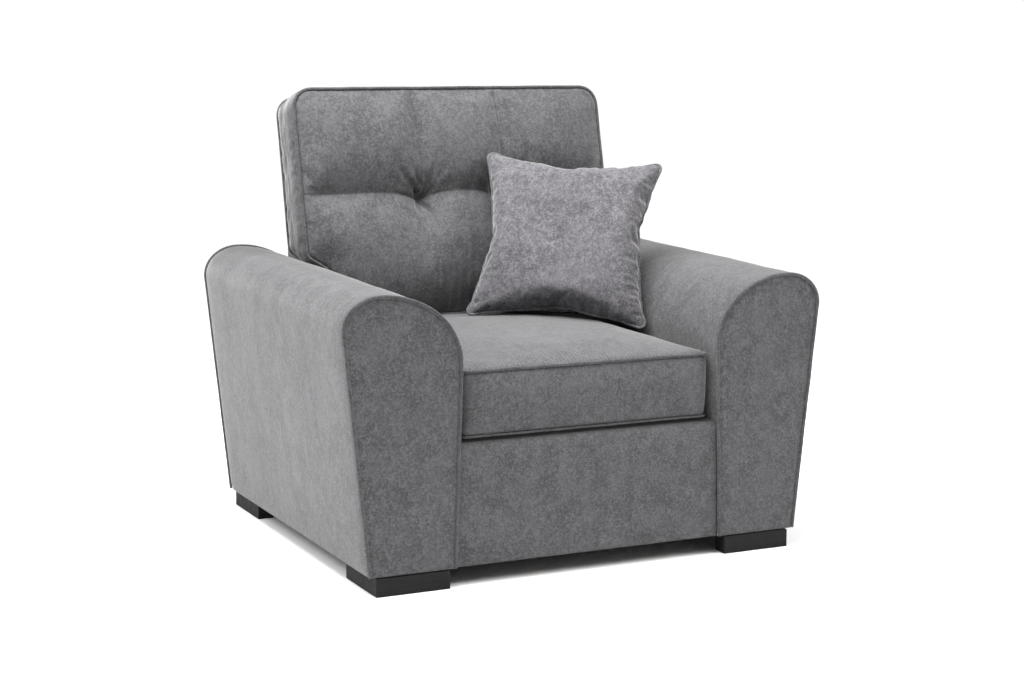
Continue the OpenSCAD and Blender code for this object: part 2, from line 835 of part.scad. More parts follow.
// Lens between the crowns of both faces, running along Z
scatter_r = crown_r(scatter_w / 2, scatter_crown);
module scatter_lens(deep) {
    intersection_for(side = [-1, 1]) translate([0, side * (scatter_r - scatter_t / 2), -scatter_w])
        cylinder(r = scatter_r - deep, h = 2 * scatter_w, $fn = 120);
}
module scatter_body(deep) {
    half = scatter_w / 2 - deep;
    intersection() {
        along_y(-scatter_t / 2, scatter_t / 2)
            polygon(round_rect(half, -half, half, scatter_corner_r - deep));
        scatter_lens(deep - lip);
        rotate([0, 90, 0]) scatter_lens(deep - lip);
    }
}

// The zip lies in the rear face beside the bottom seam
scatter_zip_h = scatter_w / 2 - zip_w;
scatter_zip_a = asin(scatter_zip_h / scatter_r);
module scatter_zip_place() {
    translate([0, scatter_t / 2 - scatter_r, 0]) rotate([-scatter_zip_a, 0, 0])
        translate([0, scatter_r, 0]) children();
}
module scatter_fill() { color(foam) scatter_at() scatter_body(core); }
module scatter_cover() {
    color(velvet_light) scatter_at() difference() {
        scatter_body(lip);
        scatter_body(core);
        scatter_zip_place() zip_slot(scatter_zip_l, scatter_zip_w);
    }
}
module scatter_piping() {
    half = scatter_w / 2;
    color(velvet_light) scatter_at() along_y(-pipe_d / 2, pipe_d / 2) difference() {
        polygon(round_rect(half, -half, half, scatter_corner_r));
        polygon(round_rect(half - lip, -half + lip, half - lip, scatter_corner_r - lip));
    }
}
module scatter_zip() { scatter_at() scatter_zip_place() zip(scatter_zip_l, scatter_zip_w); }
module scatter_zip_slider() { scatter_at() scatter_zip_place() slider(scatter_zip_l); }

front_rail();
rear_rail();
seat_rails();
corner_blocks();
seat_springs();
spring_clips();
spring_felt();
deck_cloth();
front_rail_pad();
front_rail_cover();
dust_cover();
foot_front_left();
foot_front_right();
foot_rear_left();
foot_rear_right();
foot_screws();
arm_bolts();
arm_front_board_left();
arm_front_board_right();
arm_rear_board_left();
arm_rear_board_right();
arm_rails_left();
arm_rails_right();
arm_wrap_board_left();
arm_wrap_board_right();
arm_foam_left();
arm_foam_right();
arm_front_pad_left();
arm_front_pad_right();
arm_cover_left();
arm_cover_right();
arm_front_panel_left();
arm_front_panel_right();
arm_piping_left();
arm_piping_right();
back_posts();
back_rails();
back_wings();
back_webbing();
inside_back_pad();
inside_back_cover();
back_border();
outside_back_cover();
seat_cushion_core();
seat_cushion_cover();
seat_cushion_piping();
seat_zip();
seat_zip_slider();
back_cushion_fill();
back_cushion_cover();
back_cushion_piping();
back_tuft_ties();
back_zip();
back_zip_slider();
scatter_fill();
scatter_cover();
scatter_piping();
scatter_zip();
scatter_zip_slider();
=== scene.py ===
"""A wide upholstered armchair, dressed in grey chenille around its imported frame.

Every piece is made in metres and in the frame's own directions: X runs across the chair,
Y from its front to its rear, and Z up from the floor.
"""

import json
import logging
import math
from dataclasses import dataclass, field
from enum import Enum
from typing import Callable, Iterable, Sequence

import bpy
import numpy as np
from mathutils import Matrix, Vector, kdtree, noise


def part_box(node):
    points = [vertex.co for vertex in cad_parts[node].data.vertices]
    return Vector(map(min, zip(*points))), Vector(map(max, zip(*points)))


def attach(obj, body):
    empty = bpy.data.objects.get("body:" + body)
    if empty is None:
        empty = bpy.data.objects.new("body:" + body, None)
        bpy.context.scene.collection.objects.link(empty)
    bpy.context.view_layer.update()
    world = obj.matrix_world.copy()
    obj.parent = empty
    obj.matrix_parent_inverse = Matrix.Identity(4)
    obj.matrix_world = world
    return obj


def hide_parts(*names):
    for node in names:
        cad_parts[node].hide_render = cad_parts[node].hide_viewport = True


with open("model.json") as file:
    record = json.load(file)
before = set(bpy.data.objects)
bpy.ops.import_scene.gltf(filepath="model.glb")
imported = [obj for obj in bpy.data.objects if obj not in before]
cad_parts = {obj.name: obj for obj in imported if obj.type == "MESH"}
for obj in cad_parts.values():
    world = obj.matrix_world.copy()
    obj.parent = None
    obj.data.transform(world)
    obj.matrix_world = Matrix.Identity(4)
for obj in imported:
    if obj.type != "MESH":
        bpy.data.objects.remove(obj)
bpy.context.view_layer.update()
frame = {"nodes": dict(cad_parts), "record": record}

logging.basicConfig(level=logging.INFO, format="%(message)s")
log = logging.getLogger("armchair")

Array = np.ndarray
Shape = Callable[[Array, Array], tuple[Array, Array, Array]]
MM = 0.001


class Body(str, Enum):
    """The bodies that pieces ride on."""

    ROOT = "root"
    SEAT = "seat_cushion"
    BACK = "back_cushion"
    SCATTER = "scatter_cushion"


class Slot(str, Enum):
    """The record's material slots."""

    CHENILLE = "chenille"
    SEAT_CHENILLE = "seat_chenille"
    PIPING = "piping"
    CRUSHED_VELVET = "crushed_velvet"
    FOOT_BLACK = "foot_black"
    TIMBER = "timber"
    PLYWOOD = "plywood"
    FOAM = "foam"
    FIBRE_FILL = "fibre_fill"
    FELT = "felt"
    LINING = "lining"
    STEEL = "steel"
    ZIP_METAL = "zip_metal"


class Side(float, Enum):
    """Which side of the chair an arm stands on, as the sign of its X."""

    LEFT = -1.0
    RIGHT = 1.0

    @property
    def word(self) -> str:
        """The side's name in lower case."""
        return self.name.lower()


# ---------------------------------------------------------------- tools


class Bench:
    """The modelling bench: Blender's own tools, worked on one piece at a time."""

    @staticmethod
    def clear() -> None:
        """Leaves edit mode and leaves nothing selected."""
        if bpy.context.object is not None and bpy.context.object.mode != "OBJECT":
            bpy.ops.object.mode_set(mode="OBJECT")
        bpy.ops.object.select_all(action="DESELECT")

    @staticmethod
    def take(obj: bpy.types.Object) -> bpy.types.Object:
        """Selects one object alone and makes it the active one."""
        Bench.clear()
        obj.select_set(True)
        bpy.context.view_layer.objects.active = obj
        return obj

    @staticmethod
    def name(obj: bpy.types.Object, name: str) -> bpy.types.Object:
        """Names an object and its mesh alike."""
        obj.name = name
        obj.data.name = name
        return obj

    @staticmethod
    def points(obj: bpy.types.Object) -> Array:
        """The places of a mesh's points, one row each."""
        co = np.empty(len(obj.data.vertices) * 3)
        obj.data.vertices.foreach_get("co", co)
        return co.reshape(-1, 3)

    @staticmethod
    def put(obj: bpy.types.Object, co: Array) -> None:
        """Moves a mesh's points to new places.

        Args:
            obj: The mesh object.
            co: One row of X, Y and Z for each point.
        """
        obj.data.vertices.foreach_set("co", np.ascontiguousarray(co, float).ravel())
        obj.data.update()

    @staticmethod
    def normals(obj: bpy.types.Object) -> Array:
        """The directions that a mesh's points face, one row each."""
        out = np.empty(len(obj.data.vertices) * 3, np.float32)
        obj.data.vertices.foreach_get("normal", out)
        return out.reshape(-1, 3).astype(float)

    @staticmethod
    def settle(obj: bpy.types.Object) -> None:
        """Moves an object's place, turn and scale into its mesh."""
        Bench.take(obj)
        bpy.ops.object.transform_apply(location=True, rotation=True, scale=True)

    @staticmethod
    def modify(obj: bpy.types.Object, kind: str, **settings: object) -> None:
        """Adds a modifier and applies it at once.

        Args:
            obj: The object to work on.
            kind: Blender's name for the modifier.
            settings: The modifier's own settings.
        """
        Bench.take(obj)
        modifier = obj.modifiers.new(kind.title(), kind)
        for key, value in settings.items():
            setattr(modifier, key, value)
        bpy.ops.object.modifier_apply(modifier=modifier.name)

    @staticmethod
    def weld(obj: bpy.types.Object, reach: float = 0.00005) -> None:
        """Merges points that lie together and turns every face outwards."""
        Bench.take(obj)
        bpy.ops.object.mode_set(mode="EDIT")
        bpy.ops.mesh.select_all(action="SELECT")
        bpy.ops.mesh.remove_doubles(threshold=reach)
        bpy.ops.mesh.dissolve_degenerate(threshold=reach)
        bpy.ops.mesh.normals_make_consistent(inside=False)
        bpy.ops.object.mode_set(mode="OBJECT")

    @staticmethod
    def smooth(obj: bpy.types.Object, degrees: float = 50.0) -> None:
        """Shades a piece smooth, except across edges sharper than an angle."""
        Bench.take(obj)
        bpy.ops.object.shade_smooth_by_angle(angle=math.radians(degrees))

    @staticmethod
    def drape(name: str, across: int, along: int, shape: Shape) -> bpy.types.Object:
        """Lays a sheet of square mesh over a shape.

        Args:
            name: The new piece's name.
            across: How many squares the sheet has in its first direction.
            along: How many it has in its second direction.
            shape: Turns both directions' shares, 0 to 1, into places.

        Returns:
            The sheet, a mesh object with a UV map.
        """
        Bench.clear()
        bpy.ops.mesh.primitive_grid_add(
            x_subdivisions=across, y_subdivisions=along, size=1.0, calc_uvs=True
        )
        obj = Bench.name(bpy.context.object, name)
        flat = Bench.points(obj)
        x, y, z = shape(flat[:, 0] + 0.5, flat[:, 1] + 0.5)
        Bench.put(obj, np.stack([x, y, z], 1))
        return obj

    @staticmethod
    def thicken(obj: bpy.types.Object, thickness: float) -> None:
        """Gives a sheet its thickness, behind the face that shows."""
        Bench.modify(obj, "SOLIDIFY", thickness=thickness, offset=-1.0, use_rim=True)

    @staticmethod
    def face(obj: bpy.types.Object, towards: Callable[[Array], Array]) -> None:
        """Turns a sheet over if most of it faces the wrong way.

        Args:
            obj: The sheet.
            towards: Gives the direction that each point should face.
        """
        way = (Bench.normals(obj) * towards(Bench.points(obj))).sum(1)
        if way.sum() < 0:
            Bench.take(obj)
            bpy.ops.object.mode_set(mode="EDIT")
            bpy.ops.mesh.select_all(action="SELECT")
            bpy.ops.mesh.flip_normals()
            bpy.ops.object.mode_set(mode="OBJECT")

    @staticmethod
    def pipe(
        name: str, path: Array, radius: float, closed: bool = False, sides: int = 5
    ) -> bpy.types.Object:
        """Makes a round cord along a path.

        Args:
            name: The new piece's name.
            path: The points that the middle of the cord follows.
            radius: The cord's radius.
            closed: Whether the last point joins the first.
            sides: Half the number of faces round the cord, less two.

        Returns:
            The cord as a mesh object.
        """
        curve = bpy.data.curves.new(name, "CURVE")
        curve.dimensions = "3D"
        spline = curve.splines.new("POLY")
        spline.points.add(len(path) - 1)
        spline.points.foreach_set("co", np.c_[path, np.ones(len(path))].ravel())
        spline.use_cyclic_u = closed
        curve.bevel_depth = radius
        curve.bevel_resolution = sides
        curve.use_fill_caps = not closed
        obj = bpy.data.objects.new(name, curve)
        bpy.context.scene.collection.objects.link(obj)
        Bench.take(obj)
        bpy.ops.object.convert(target="MESH")
        obj = Bench.name(bpy.context.object, name)
        Bench.weld(obj)
        Bench.smooth(obj, 60)
        return obj

    @staticmethod
    def copy(node: str, name: str) -> bpy.types.Object:
        """Copies a frame node's shape as a new, welded piece."""
        source = frame["nodes"][node]
        obj = bpy.data.objects.new(name, source.data.copy())
        bpy.context.scene.collection.objects.link(obj)
        Bench.name(obj, name)
        obj.data.materials.clear()
        Bench.weld(obj, 0.00002)
        return obj

    @staticmethod
    def attribute(obj: bpy.types.Object, name: str, values: Array) -> None:
        """Stores one number for each point of a mesh, for its finish to read."""
        layer = obj.data.attributes.get(name) or obj.data.attributes.new(
            name, "FLOAT", "POINT"
        )
        layer.data.foreach_set("value", np.ascontiguousarray(values, np.float32))

    @staticmethod
    def dress(
        obj: bpy.types.Object,
        body: Body,
        slot: Slot,
        finish: "Finish",
        *nodes: str,
    ) -> bpy.types.Object:
        """Gives a finished piece its finish and its body, and hides the nodes that it stands for.

        Args:
            obj: The piece.
            body: The body that it moves with.
            slot: The record's slot that its finish belongs to; it is not used.
            finish: The finish itself.
            nodes: The frame's nodes that the piece replaces.

        Returns:
            The same piece.
        """
        obj.data.materials.clear()
        obj.data.materials.append(finish.material())
        Bench.clear()
        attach(obj, body.value)
        if nodes:
            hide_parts(*nodes)
        log.info("%s: %d faces", obj.name, len(obj.data.polygons))
        return obj


def ripple(co: Array, size: float, seed: float = 0.0) -> Array:
    """Smooth unevenness over a surface.

    Args:
        co: Places, one row each.
        size: How wide one hump is, in metres.
        seed: Moves the pattern, so that two pieces differ.

    Returns:
        One number from about -1 to 1 for each place.
    """
    shift = Vector((seed, seed * 0.37, seed * 0.71))
    return np.array([noise.noise(Vector(p) / size + shift) for p in co])


def near_path(co: Array, path: Array, reach: float) -> Array:
    """How near each point is to a path, from 0 at the reach to 1 on it.

    Args:
        co: Points, one row each.
        path: Closely spaced points of the path.
        reach: The distance at which nearness ends.

    Returns:
        One number for each point.
    """
    tree = kdtree.KDTree(len(path))
    for index, place in enumerate(path):
        tree.insert(place, index)
    tree.balance()
    low, high = path.min(0) - reach, path.max(0) + reach
    out = np.zeros(len(co))
    for index in np.flatnonzero(((co > low) & (co < high)).all(1)):
        out[index] = max(0.0, 1 - tree.find(co[index])[2] / reach)
    return out


def bell(distance: Array, width: float) -> Array:
    """A smooth hump that is 1 at no distance and fades over a width."""
    return np.exp(-((distance / width) ** 2))


def step(x: Array, low: float, high: float) -> Array:
    """Rises smoothly from 0 at one value to 1 at another."""
    t = np.clip((x - low) / (high - low), 0, 1)
    return t * t * (3 - 2 * t)


def even(path: Array, count: int, closed: bool = False) -> Array:
    """Spaces points evenly along a path.

    Args:
        path: The path's corner points, one row each.
        count: How many points to return.
        closed: Whether the path comes back to its first point.

    Returns:
        The evenly spaced points.
    """
    if closed:
        path = np.vstack([path, path[:1]])
    run = np.r_[0, np.cumsum(np.linalg.norm(np.diff(path, axis=0), axis=1))]
    at = np.linspace(0, run[-1], count + 1)[:-1] if closed else np.linspace(0, run[-1], count)
    return np.stack([np.interp(at, run, path[:, k]) for k in range(path.shape[1])], 1)


def relax(path: Array, times: int, closed: bool = False) -> Array:
    """Rounds off the corners of a path of evenly spaced points."""
    out = path.copy()
    for _ in range(times):
        ahead, behind = np.roll(out, -1, 0), np.roll(out, 1, 0)
        if not closed:
            ahead[-1], behind[-1] = out[-1], out[-1]
            ahead[0], behind[0] = out[0], out[0]
        out = 0.5 * out + 0.25 * (ahead + behind)
    return out


# ---------------------------------------------------------------- finishes


class Graph:
    """A material under construction, node by node."""

    def __init__(self, name: str) -> None:
        """Starts a material with nothing but its surface shader."""
        self.material = bpy.data.materials.new(name)
        self.material.use_nodes = True
        self.tree = self.material.node_tree
        self.tree.nodes.clear()
        output = self.tree.nodes.new("ShaderNodeOutputMaterial")
        self.shader = self.tree.nodes.new("ShaderNodeBsdfPrincipled")
        self.tree.links.new(self.shader.outputs[0], output.inputs[0])

    def add(self, kind: str, **values: object) -> bpy.types.Node:
        """Adds a node and sets or links its inputs.

        Args:
            kind: Blender's name for the node, without its first part.
            values: Settings of the node by name, or inputs by name with _ for a space.

        Returns:
            The node.
        """
        node = self.tree.nodes.new("ShaderNode" + kind)
        for key, value in values.items():
            title = key.replace("_", " ").title()
            if title in node.inputs:
                self.feed(node.inputs[title], value)
            else:
                setattr(node, key, value)
        return node

    def feed(self, socket: bpy.types.NodeSocket, value: object) -> None:
        """Links a socket to another node's output, or sets its number."""
        if isinstance(value, bpy.types.NodeSocket):
            self.tree.links.new(value, socket)
        else:
            socket.default_value = value

    def place(self, stretch: Sequence[float] = (1, 1, 1), turn: float = 0.0) -> bpy.types.NodeSocket:
        """Object coordinates, stretched and turned about Z.

        Args:
            stretch: How much the pattern is squeezed in each direction.
            turn: The angle that it is turned by, in degrees.

        Returns:
            The coordinates' socket.
        """
        where = self.add("TexCoord").outputs["Object"]
        mapping = self.add("Mapping", vector=where, scale=tuple(stretch))
        mapping.inputs["Rotation"].default_value = (0, 0, math.radians(turn))
        return mapping.outputs[0]

    def noise(
        self,
        where: bpy.types.NodeSocket,
        size: float,
        detail: float = 3.0,
        roughness: float = 0.55,
        distortion: float = 0.0,
    ) -> bpy.types.NodeSocket:
        """Cloudy noise whose blotches are about a size across, in metres."""
        node = self.add(
            "TexNoise", vector=where, scale=1.0 / size, detail=detail,
            roughness=roughness, distortion=distortion,
        )
        return node.outputs[0]

    def curve(self, value: bpy.types.NodeSocket, low: float, high: float, to: tuple[float, float] = (0, 1)) -> bpy.types.NodeSocket:
        """Spreads a range of numbers smoothly over another range."""
        node = self.add("MapRange", interpolation_type="SMOOTHSTEP", value=value)
        node.inputs["From Min"].default_value = low
        node.inputs["From Max"].default_value = high
        node.inputs["To Min"].default_value = to[0]
        node.inputs["To Max"].default_value = to[1]
        return node.outputs[0]

    def sum(self, a: object, b: object, operation: str = "ADD") -> bpy.types.NodeSocket:
        """Works out a sum of two numbers, an addition unless it is named otherwise."""
        node = self.add("Math", operation=operation)
        self.feed(node.inputs[0], a)
        self.feed(node.inputs[1], b)
        return node.outputs[0]

    def blend(self, share: object, a: object, b: object, way: str = "MIX") -> bpy.types.NodeSocket:
        """Mixes two colours.

        Args:
            share: How much of the second colour shows.
            a: The first colour, as numbers or a socket.
            b: The second colour.
            way: Blender's name for the way they mix.

        Returns:
            The mixed colour's socket.
        """
        node = self.add("Mix", data_type="RGBA", blend_type=way)
        self.feed(node.inputs[0], share)
        self.feed(node.inputs[6], (*a, 1) if isinstance(a, tuple) else a)
        self.feed(node.inputs[7], (*b, 1) if isinstance(b, tuple) else b)
        return node.outputs[2]

    def relief(self, height: bpy.types.NodeSocket, depth: float, strength: float = 1.0) -> None:
        """Raises the surface by a height map, on top of any relief so far.

        Args:
            height: The height map, 0 to 1.
            depth: How deep its full range is, in metres.
            strength: How much of it shows.
        """
        node = self.add("Bump", strength=strength, distance=depth, height=height)
        normal = self.shader.inputs["Normal"]
        if normal.links:
            self.feed(node.inputs["Normal"], normal.links[0].from_socket)
        self.feed(normal, node.outputs[0])

    def set(self, **values: object) -> None:
        """Sets or links the shader's own inputs, by name with _ for a space."""
        names = {"Ior": "IOR", "Specular Ior Level": "Specular IOR Level"}
        for key, value in values.items():
            title = key.replace("_", " ").title()
            self.feed(self.shader.inputs[names.get(title, title)], value)


@dataclass(frozen=True)
class Finish:
    """A surface finish. Each kind makes its material once and shares it."""

    name: str

    def paint(self, graph: Graph) -> None:
        """Adds the finish's own nodes."""
        raise NotImplementedError

    def material(self) -> bpy.types.Material:
        """The finish's material, made the first time that it is wanted."""
        made = bpy.data.materials.get(self.name)
        if made is None:
            graph = Graph(self.name)
            self.paint(graph)
            made = graph.material
        return made


@dataclass(frozen=True)
class Pile(Finish):
    """Flat chenille or velvet: a short pile that lies in blotches and catches the light.

    Attributes:
        dark: The colour where the pile leans towards the eye.
        light: The colour where it leans away.
        blotch: The size of the larger blotches, in metres.
        contrast: How far the blotches differ, 0 to 1.
        streak: How much the blotches are drawn out upwards.
        sheen: How strongly the pile shines at a slant.
        rib: The width of one woven rib, or 0 for none.
        crush: How far finer, sharper marks show in the pile, 0 to 1.
        tint: A second colour that the larger blotches lean to.
    """

    dark: tuple[float, float, float] = (0.048, 0.048, 0.05)
    light: tuple[float, float, float] = (0.105, 0.105, 0.108)
    blotch: float = 0.02
    contrast: float = 1.05
    streak: float = 1.25
    sheen: float = 0.55
    rib: float = 0.0
    crush: float = 0.5
    tint: tuple[float, float, float] = (0.074, 0.073, 0.078)

    def paint(self, graph: Graph) -> None:
        """Builds the blotches, the fine marks, the seams' shade and the weave."""
        where = graph.place((1, 1, 1.0 / self.streak))
        plain = graph.place()
        large = graph.noise(where, self.blotch * 3.2, 2.0, 0.5, 0.3)
        middle = graph.noise(where, self.blotch, 3.0, 0.6, 0.5)
        fine = graph.noise(plain, self.blotch / 2.8, 3.0, 0.65, 0.3)
        fibre = graph.noise(plain, 0.0042, 3.0, 0.7)
        shade = graph.sum(graph.sum(large, 0.5, "SUBTRACT"), 0.5, "MULTIPLY")
        for layer, share in ((middle, 0.9), (fine, 2.2 * self.crush), (fibre, 2.1)):
            shade = graph.sum(shade, graph.sum(graph.sum(layer, 0.5, "SUBTRACT"), share, "MULTIPLY"))
        shade = graph.sum(shade, 0.42)
        shade = graph.curve(shade, 0.5 - 0.5 / max(self.contrast, 0.05), 0.5 + 0.5 / max(self.contrast, 0.05))
        colour = graph.blend(shade, self.dark, self.light)
        colour = graph.blend(graph.sum(graph.curve(large, 0.4, 0.7), 0.35, "MULTIPLY"), colour, self.tint)
        if self.rib:
            bands = graph.add("TexWave", wave_type="BANDS", bands_direction="X", vector=plain)
            bands.inputs["Scale"].default_value = 1.0 / (self.rib * 3.1416) * 0.5
            bands.inputs["Distortion"].default_value = 0.6
            bands.inputs["Detail"].default_value = 1.0
            bands.inputs["Detail Scale"].default_value = 3.0
            dots = graph.noise(graph.place((1, 0.55, 1)), self.rib * 1.1, 1.0, 0.4)
            rib = graph.sum(bands.outputs[0], graph.curve(dots, 0.38, 0.62, (0.45, 1.0)), "MULTIPLY")
            # The ribs are lightened in colour only where the surface faces up: partly the weave's own rib pattern,
            # partly painted highlight on the rib crests.
            flat = graph.curve(graph.add("SeparateXYZ", vector=graph.add("NewGeometry").outputs["Normal"]).outputs[2], 0.5, 0.85)
            rib = graph.sum(rib, flat, "MULTIPLY")
            colour = graph.blend(graph.sum(rib, 0.5, "MULTIPLY"), colour, self.light)
            graph.relief(rib, 0.0007, 0.6)
        # Painted shade: the 'seam' attribute darkens the colour in stitched lines, tuft pits, beside piping and where
        # cloth turns under, where shadow would fall.
        seam = graph.add("Attribute", attribute_name="seam").outputs["Fac"]
        colour = graph.blend(graph.sum(seam, 0.72, "MULTIPLY"), colour, tuple(0.35 * c for c in self.dark))
        graph.relief(fibre, 0.0005, 0.5)
        graph.relief(fine, 0.0009, 0.35)
        graph.relief(middle, 0.0016, 0.3)
        graph.set(
            base_color=colour, roughness=graph.curve(shade, 0, 1, (0.95, 0.78)), sheen_weight=self.sheen,
            sheen_roughness=0.35, sheen_tint=(1, 1, 1, 1), specular_ior_level=0.18,
        )


@dataclass(frozen=True)
class Wood(Finish):
    """Timber or board with its grain along one direction.

    Attributes:
        dark: The colour of the late wood.
        light: The colour of the early wood.
        along: The direction that the grain runs in, X, Y or Z as 0, 1 or 2.
        ply: The thickness of one ply, or 0 for solid wood.
        roughness: How dull the surface is.
    """

    dark: tuple[float, float, float] = (0.36, 0.21, 0.1)
    light: tuple[float, float, float] = (0.62, 0.43, 0.25)
    along: int = 2
    ply: float = 0.0
    roughness: float = 0.6

    def paint(self, graph: Graph) -> None:
        """Draws long grain, pores and, on board, the plies."""
        stretch = [1.0, 1.0, 1.0]
        stretch[self.along] = 0.06
        where = graph.place(stretch)
        grain = graph.noise(where, 0.012, 5.0, 0.6, 1.4)
        pores = graph.noise(where, 0.0018, 2.0, 0.6)
        share = graph.curve(grain, 0.35, 0.65)
        if self.ply:
            band = graph.add("TexWave", wave_type="BANDS", bands_direction="Y", vector=graph.place())
            band.inputs["Scale"].default_value = 0.5 / (self.ply * 3.1416)
            share = graph.sum(graph.sum(share, 0.6, "MULTIPLY"), graph.sum(band.outputs[0], 0.4, "MULTIPLY"))
        colour = graph.blend(share, self.dark, self.light)
        colour = graph.blend(graph.curve(pores, 0.55, 0.75, (0, 0.4)), colour, tuple(0.5 * c for c in self.dark))
        graph.relief(pores, 0.0003, 0.5)
        graph.set(base_color=colour, roughness=graph.curve(grain, 0.3, 0.7, (self.roughness - 0.08, self.roughness + 0.08)))


@dataclass(frozen=True)
class Padding(Finish):
    """Foam, wadding or felt: a soft cellular or matted body.

    Attributes:
        colour: The padding's colour.
        cell: The size of one cell or tuft, in metres.
        matted: Whether it is drawn out in fibres rather than round cells.
    """

    colour: tuple[float, float, float] = (0.78, 0.73, 0.55)
    cell: float = 0.003
    matted: bool = False

    def paint(self, graph: Graph) -> None:
        """Covers the padding in pits or fibres, with slow changes of tone."""
        where = graph.place((1, 0.25, 0.8) if self.matted else (1, 1, 1))
        pits = graph.add("TexVoronoi", vector=where, scale=1.0 / self.cell).outputs[0]
        slow = graph.noise(where, self.cell * 14, 3.0, 0.6)
        colour = graph.blend(graph.curve(slow, 0.35, 0.65), tuple(0.86 * c for c in self.colour), self.colour)
        # Painted shade: the pits are darkened in colour, as shadow inside the cells and between the fibres.
        colour = graph.blend(graph.curve(pits, 0.05, 0.45, (0.35, 0)), colour, tuple(0.45 * c for c in self.colour))
        graph.relief(pits, 0.0008, 0.6)
        graph.set(base_color=colour, roughness=0.95, sheen_weight=0.15, specular_ior_level=0.1)


@dataclass(frozen=True)
class Cloth(Finish):
    """Thin woven or bonded cloth: lining, webbing, zip tape.

    Attributes:
        colour: The cloth's colour.
        thread: The width of one thread, in metres.
    """

    colour: tuple[float, float, float] = (0.016, 0.016, 0.017)
    thread: float = 0.0012

    def paint(self, graph: Graph) -> None:
        """Crosses two sets of threads, with slow changes of tone."""
        where = graph.place()
        sets = []
        for direction in ("X", "Z"):
            wave = graph.add("TexWave", wave_type="BANDS", bands_direction=direction, vector=where)
            wave.inputs["Scale"].default_value = 0.5 / (self.thread * 3.1416)
            wave.inputs["Distortion"].default_value = 0.4
            sets.append(wave.outputs[0])
        weave = graph.sum(sets[0], sets[1], "MULTIPLY")
        slow = graph.noise(where, 0.03, 3.0, 0.6)
        share = graph.sum(graph.sum(weave, 0.7, "MULTIPLY"), graph.sum(slow, 0.5, "MULTIPLY"))
        colour = graph.blend(share, tuple(0.6 * c for c in self.colour), tuple(1.8 * c for c in self.colour))
        graph.relief(weave, 0.0003, 0.6)
        graph.set(base_color=colour, roughness=0.85, sheen_weight=0.1)


@dataclass(frozen=True)
class Metal(Finish):
    """Drawn or cast metal with a fine brushed surface.

    Attributes:
        colour: The metal's colour.
        roughness: How dull it is.
    """

    colour: tuple[float, float, float] = (0.56, 0.56, 0.58)
    roughness: float = 0.32

    def paint(self, graph: Graph) -> None:
        """Brushes the surface, with small marks and slightly duller patches."""
        brushed = graph.noise(graph.place((0.08, 1, 1)), 0.0012, 3.0, 0.6)
        patches = graph.noise(graph.place(), 0.01, 3.0, 0.6)
        colour = graph.blend(graph.curve(patches, 0.4, 0.7), self.colour, tuple(0.7 * c for c in self.colour))
        graph.relief(brushed, 0.0001, 0.4)
        graph.set(base_color=colour, metallic=1.0, roughness=graph.curve(patches, 0.3, 0.7, (self.roughness, self.roughness + 0.18)))


@dataclass(frozen=True)
class Satin(Finish):
    """Black stained and lacquered wood with a satin gloss."""

    colour: tuple[float, float, float] = (0.007, 0.007, 0.0073)

    def paint(self, graph: Graph) -> None:
        """Lets the grain show faintly through the stain, with rubbed edges."""
        grain = graph.noise(graph.place((0.05, 1, 1)), 0.004, 4.0, 0.6, 0.8)
        scuff = graph.noise(graph.place(), 0.02, 5.0, 0.7)
        edge = graph.add("NewGeometry").outputs["Pointiness"]
        colour = graph.blend(graph.curve(grain, 0.4, 0.65), self.colour, tuple(1.6 * c for c in self.colour))
        colour = graph.blend(graph.curve(edge, 0.52, 0.6, (0, 0.3)), colour, (0.045, 0.045, 0.046))
        graph.relief(grain, 0.0002, 0.5)
        graph.set(
            base_color=colour, roughness=graph.curve(scuff, 0.35, 0.65, (0.5, 0.62)), specular_ior_level=0.06,
        )


CHENILLE = Pile("Chenille")
CHENILLE_SEAT = Pile("Chenille ribbed", rib=0.0042, contrast=0.9, streak=1.0, blotch=0.016)
PIPING = Pile("Chenille piping", dark=(0.042, 0.042, 0.044), light=(0.09, 0.09, 0.093), blotch=0.012, sheen=0.25)
VELVET = Pile(
    "Crushed velvet", dark=(0.058, 0.056, 0.061), light=(0.155, 0.15, 0.16), blotch=0.03, contrast=0.95,
    streak=1.0, sheen=0.5, crush=0.5, tint=(0.094, 0.089, 0.098),
)
VELVET_PIPING = Pile("Crushed velvet piping", dark=(0.07, 0.069, 0.073), light=(0.14, 0.137, 0.143), blotch=0.012, sheen=0.4)
FINISHES: dict[Slot, Finish] = {
    Slot.CHENILLE: CHENILLE,
    Slot.SEAT_CHENILLE: CHENILLE_SEAT,
    Slot.PIPING: PIPING,
    Slot.CRUSHED_VELVET: VELVET,
    Slot.FOOT_BLACK: Satin("Black stained wood"),
    Slot.TIMBER: Wood("Planed softwood"),
    Slot.PLYWOOD: Wood("Birch plywood", dark=(0.42, 0.28, 0.15), light=(0.6, 0.45, 0.28), ply=0.0015),
    Slot.FOAM: Padding("Cut foam"),
    Slot.FIBRE_FILL: Padding("Fibre wadding", colour=(0.85, 0.85, 0.83), cell=0.005, matted=True),
    Slot.FELT: Padding("Needled felt", colour=(0.36, 0.34, 0.32), cell=0.004, matted=True),
    Slot.LINING: Cloth("Black lining"),
    Slot.STEEL: Metal("Bright steel"),
    Slot.ZIP_METAL: Metal("Dark nickel", colour=(0.25, 0.24, 0.23), roughness=0.28),
}


# ---------------------------------------------------------------- the arms' shape


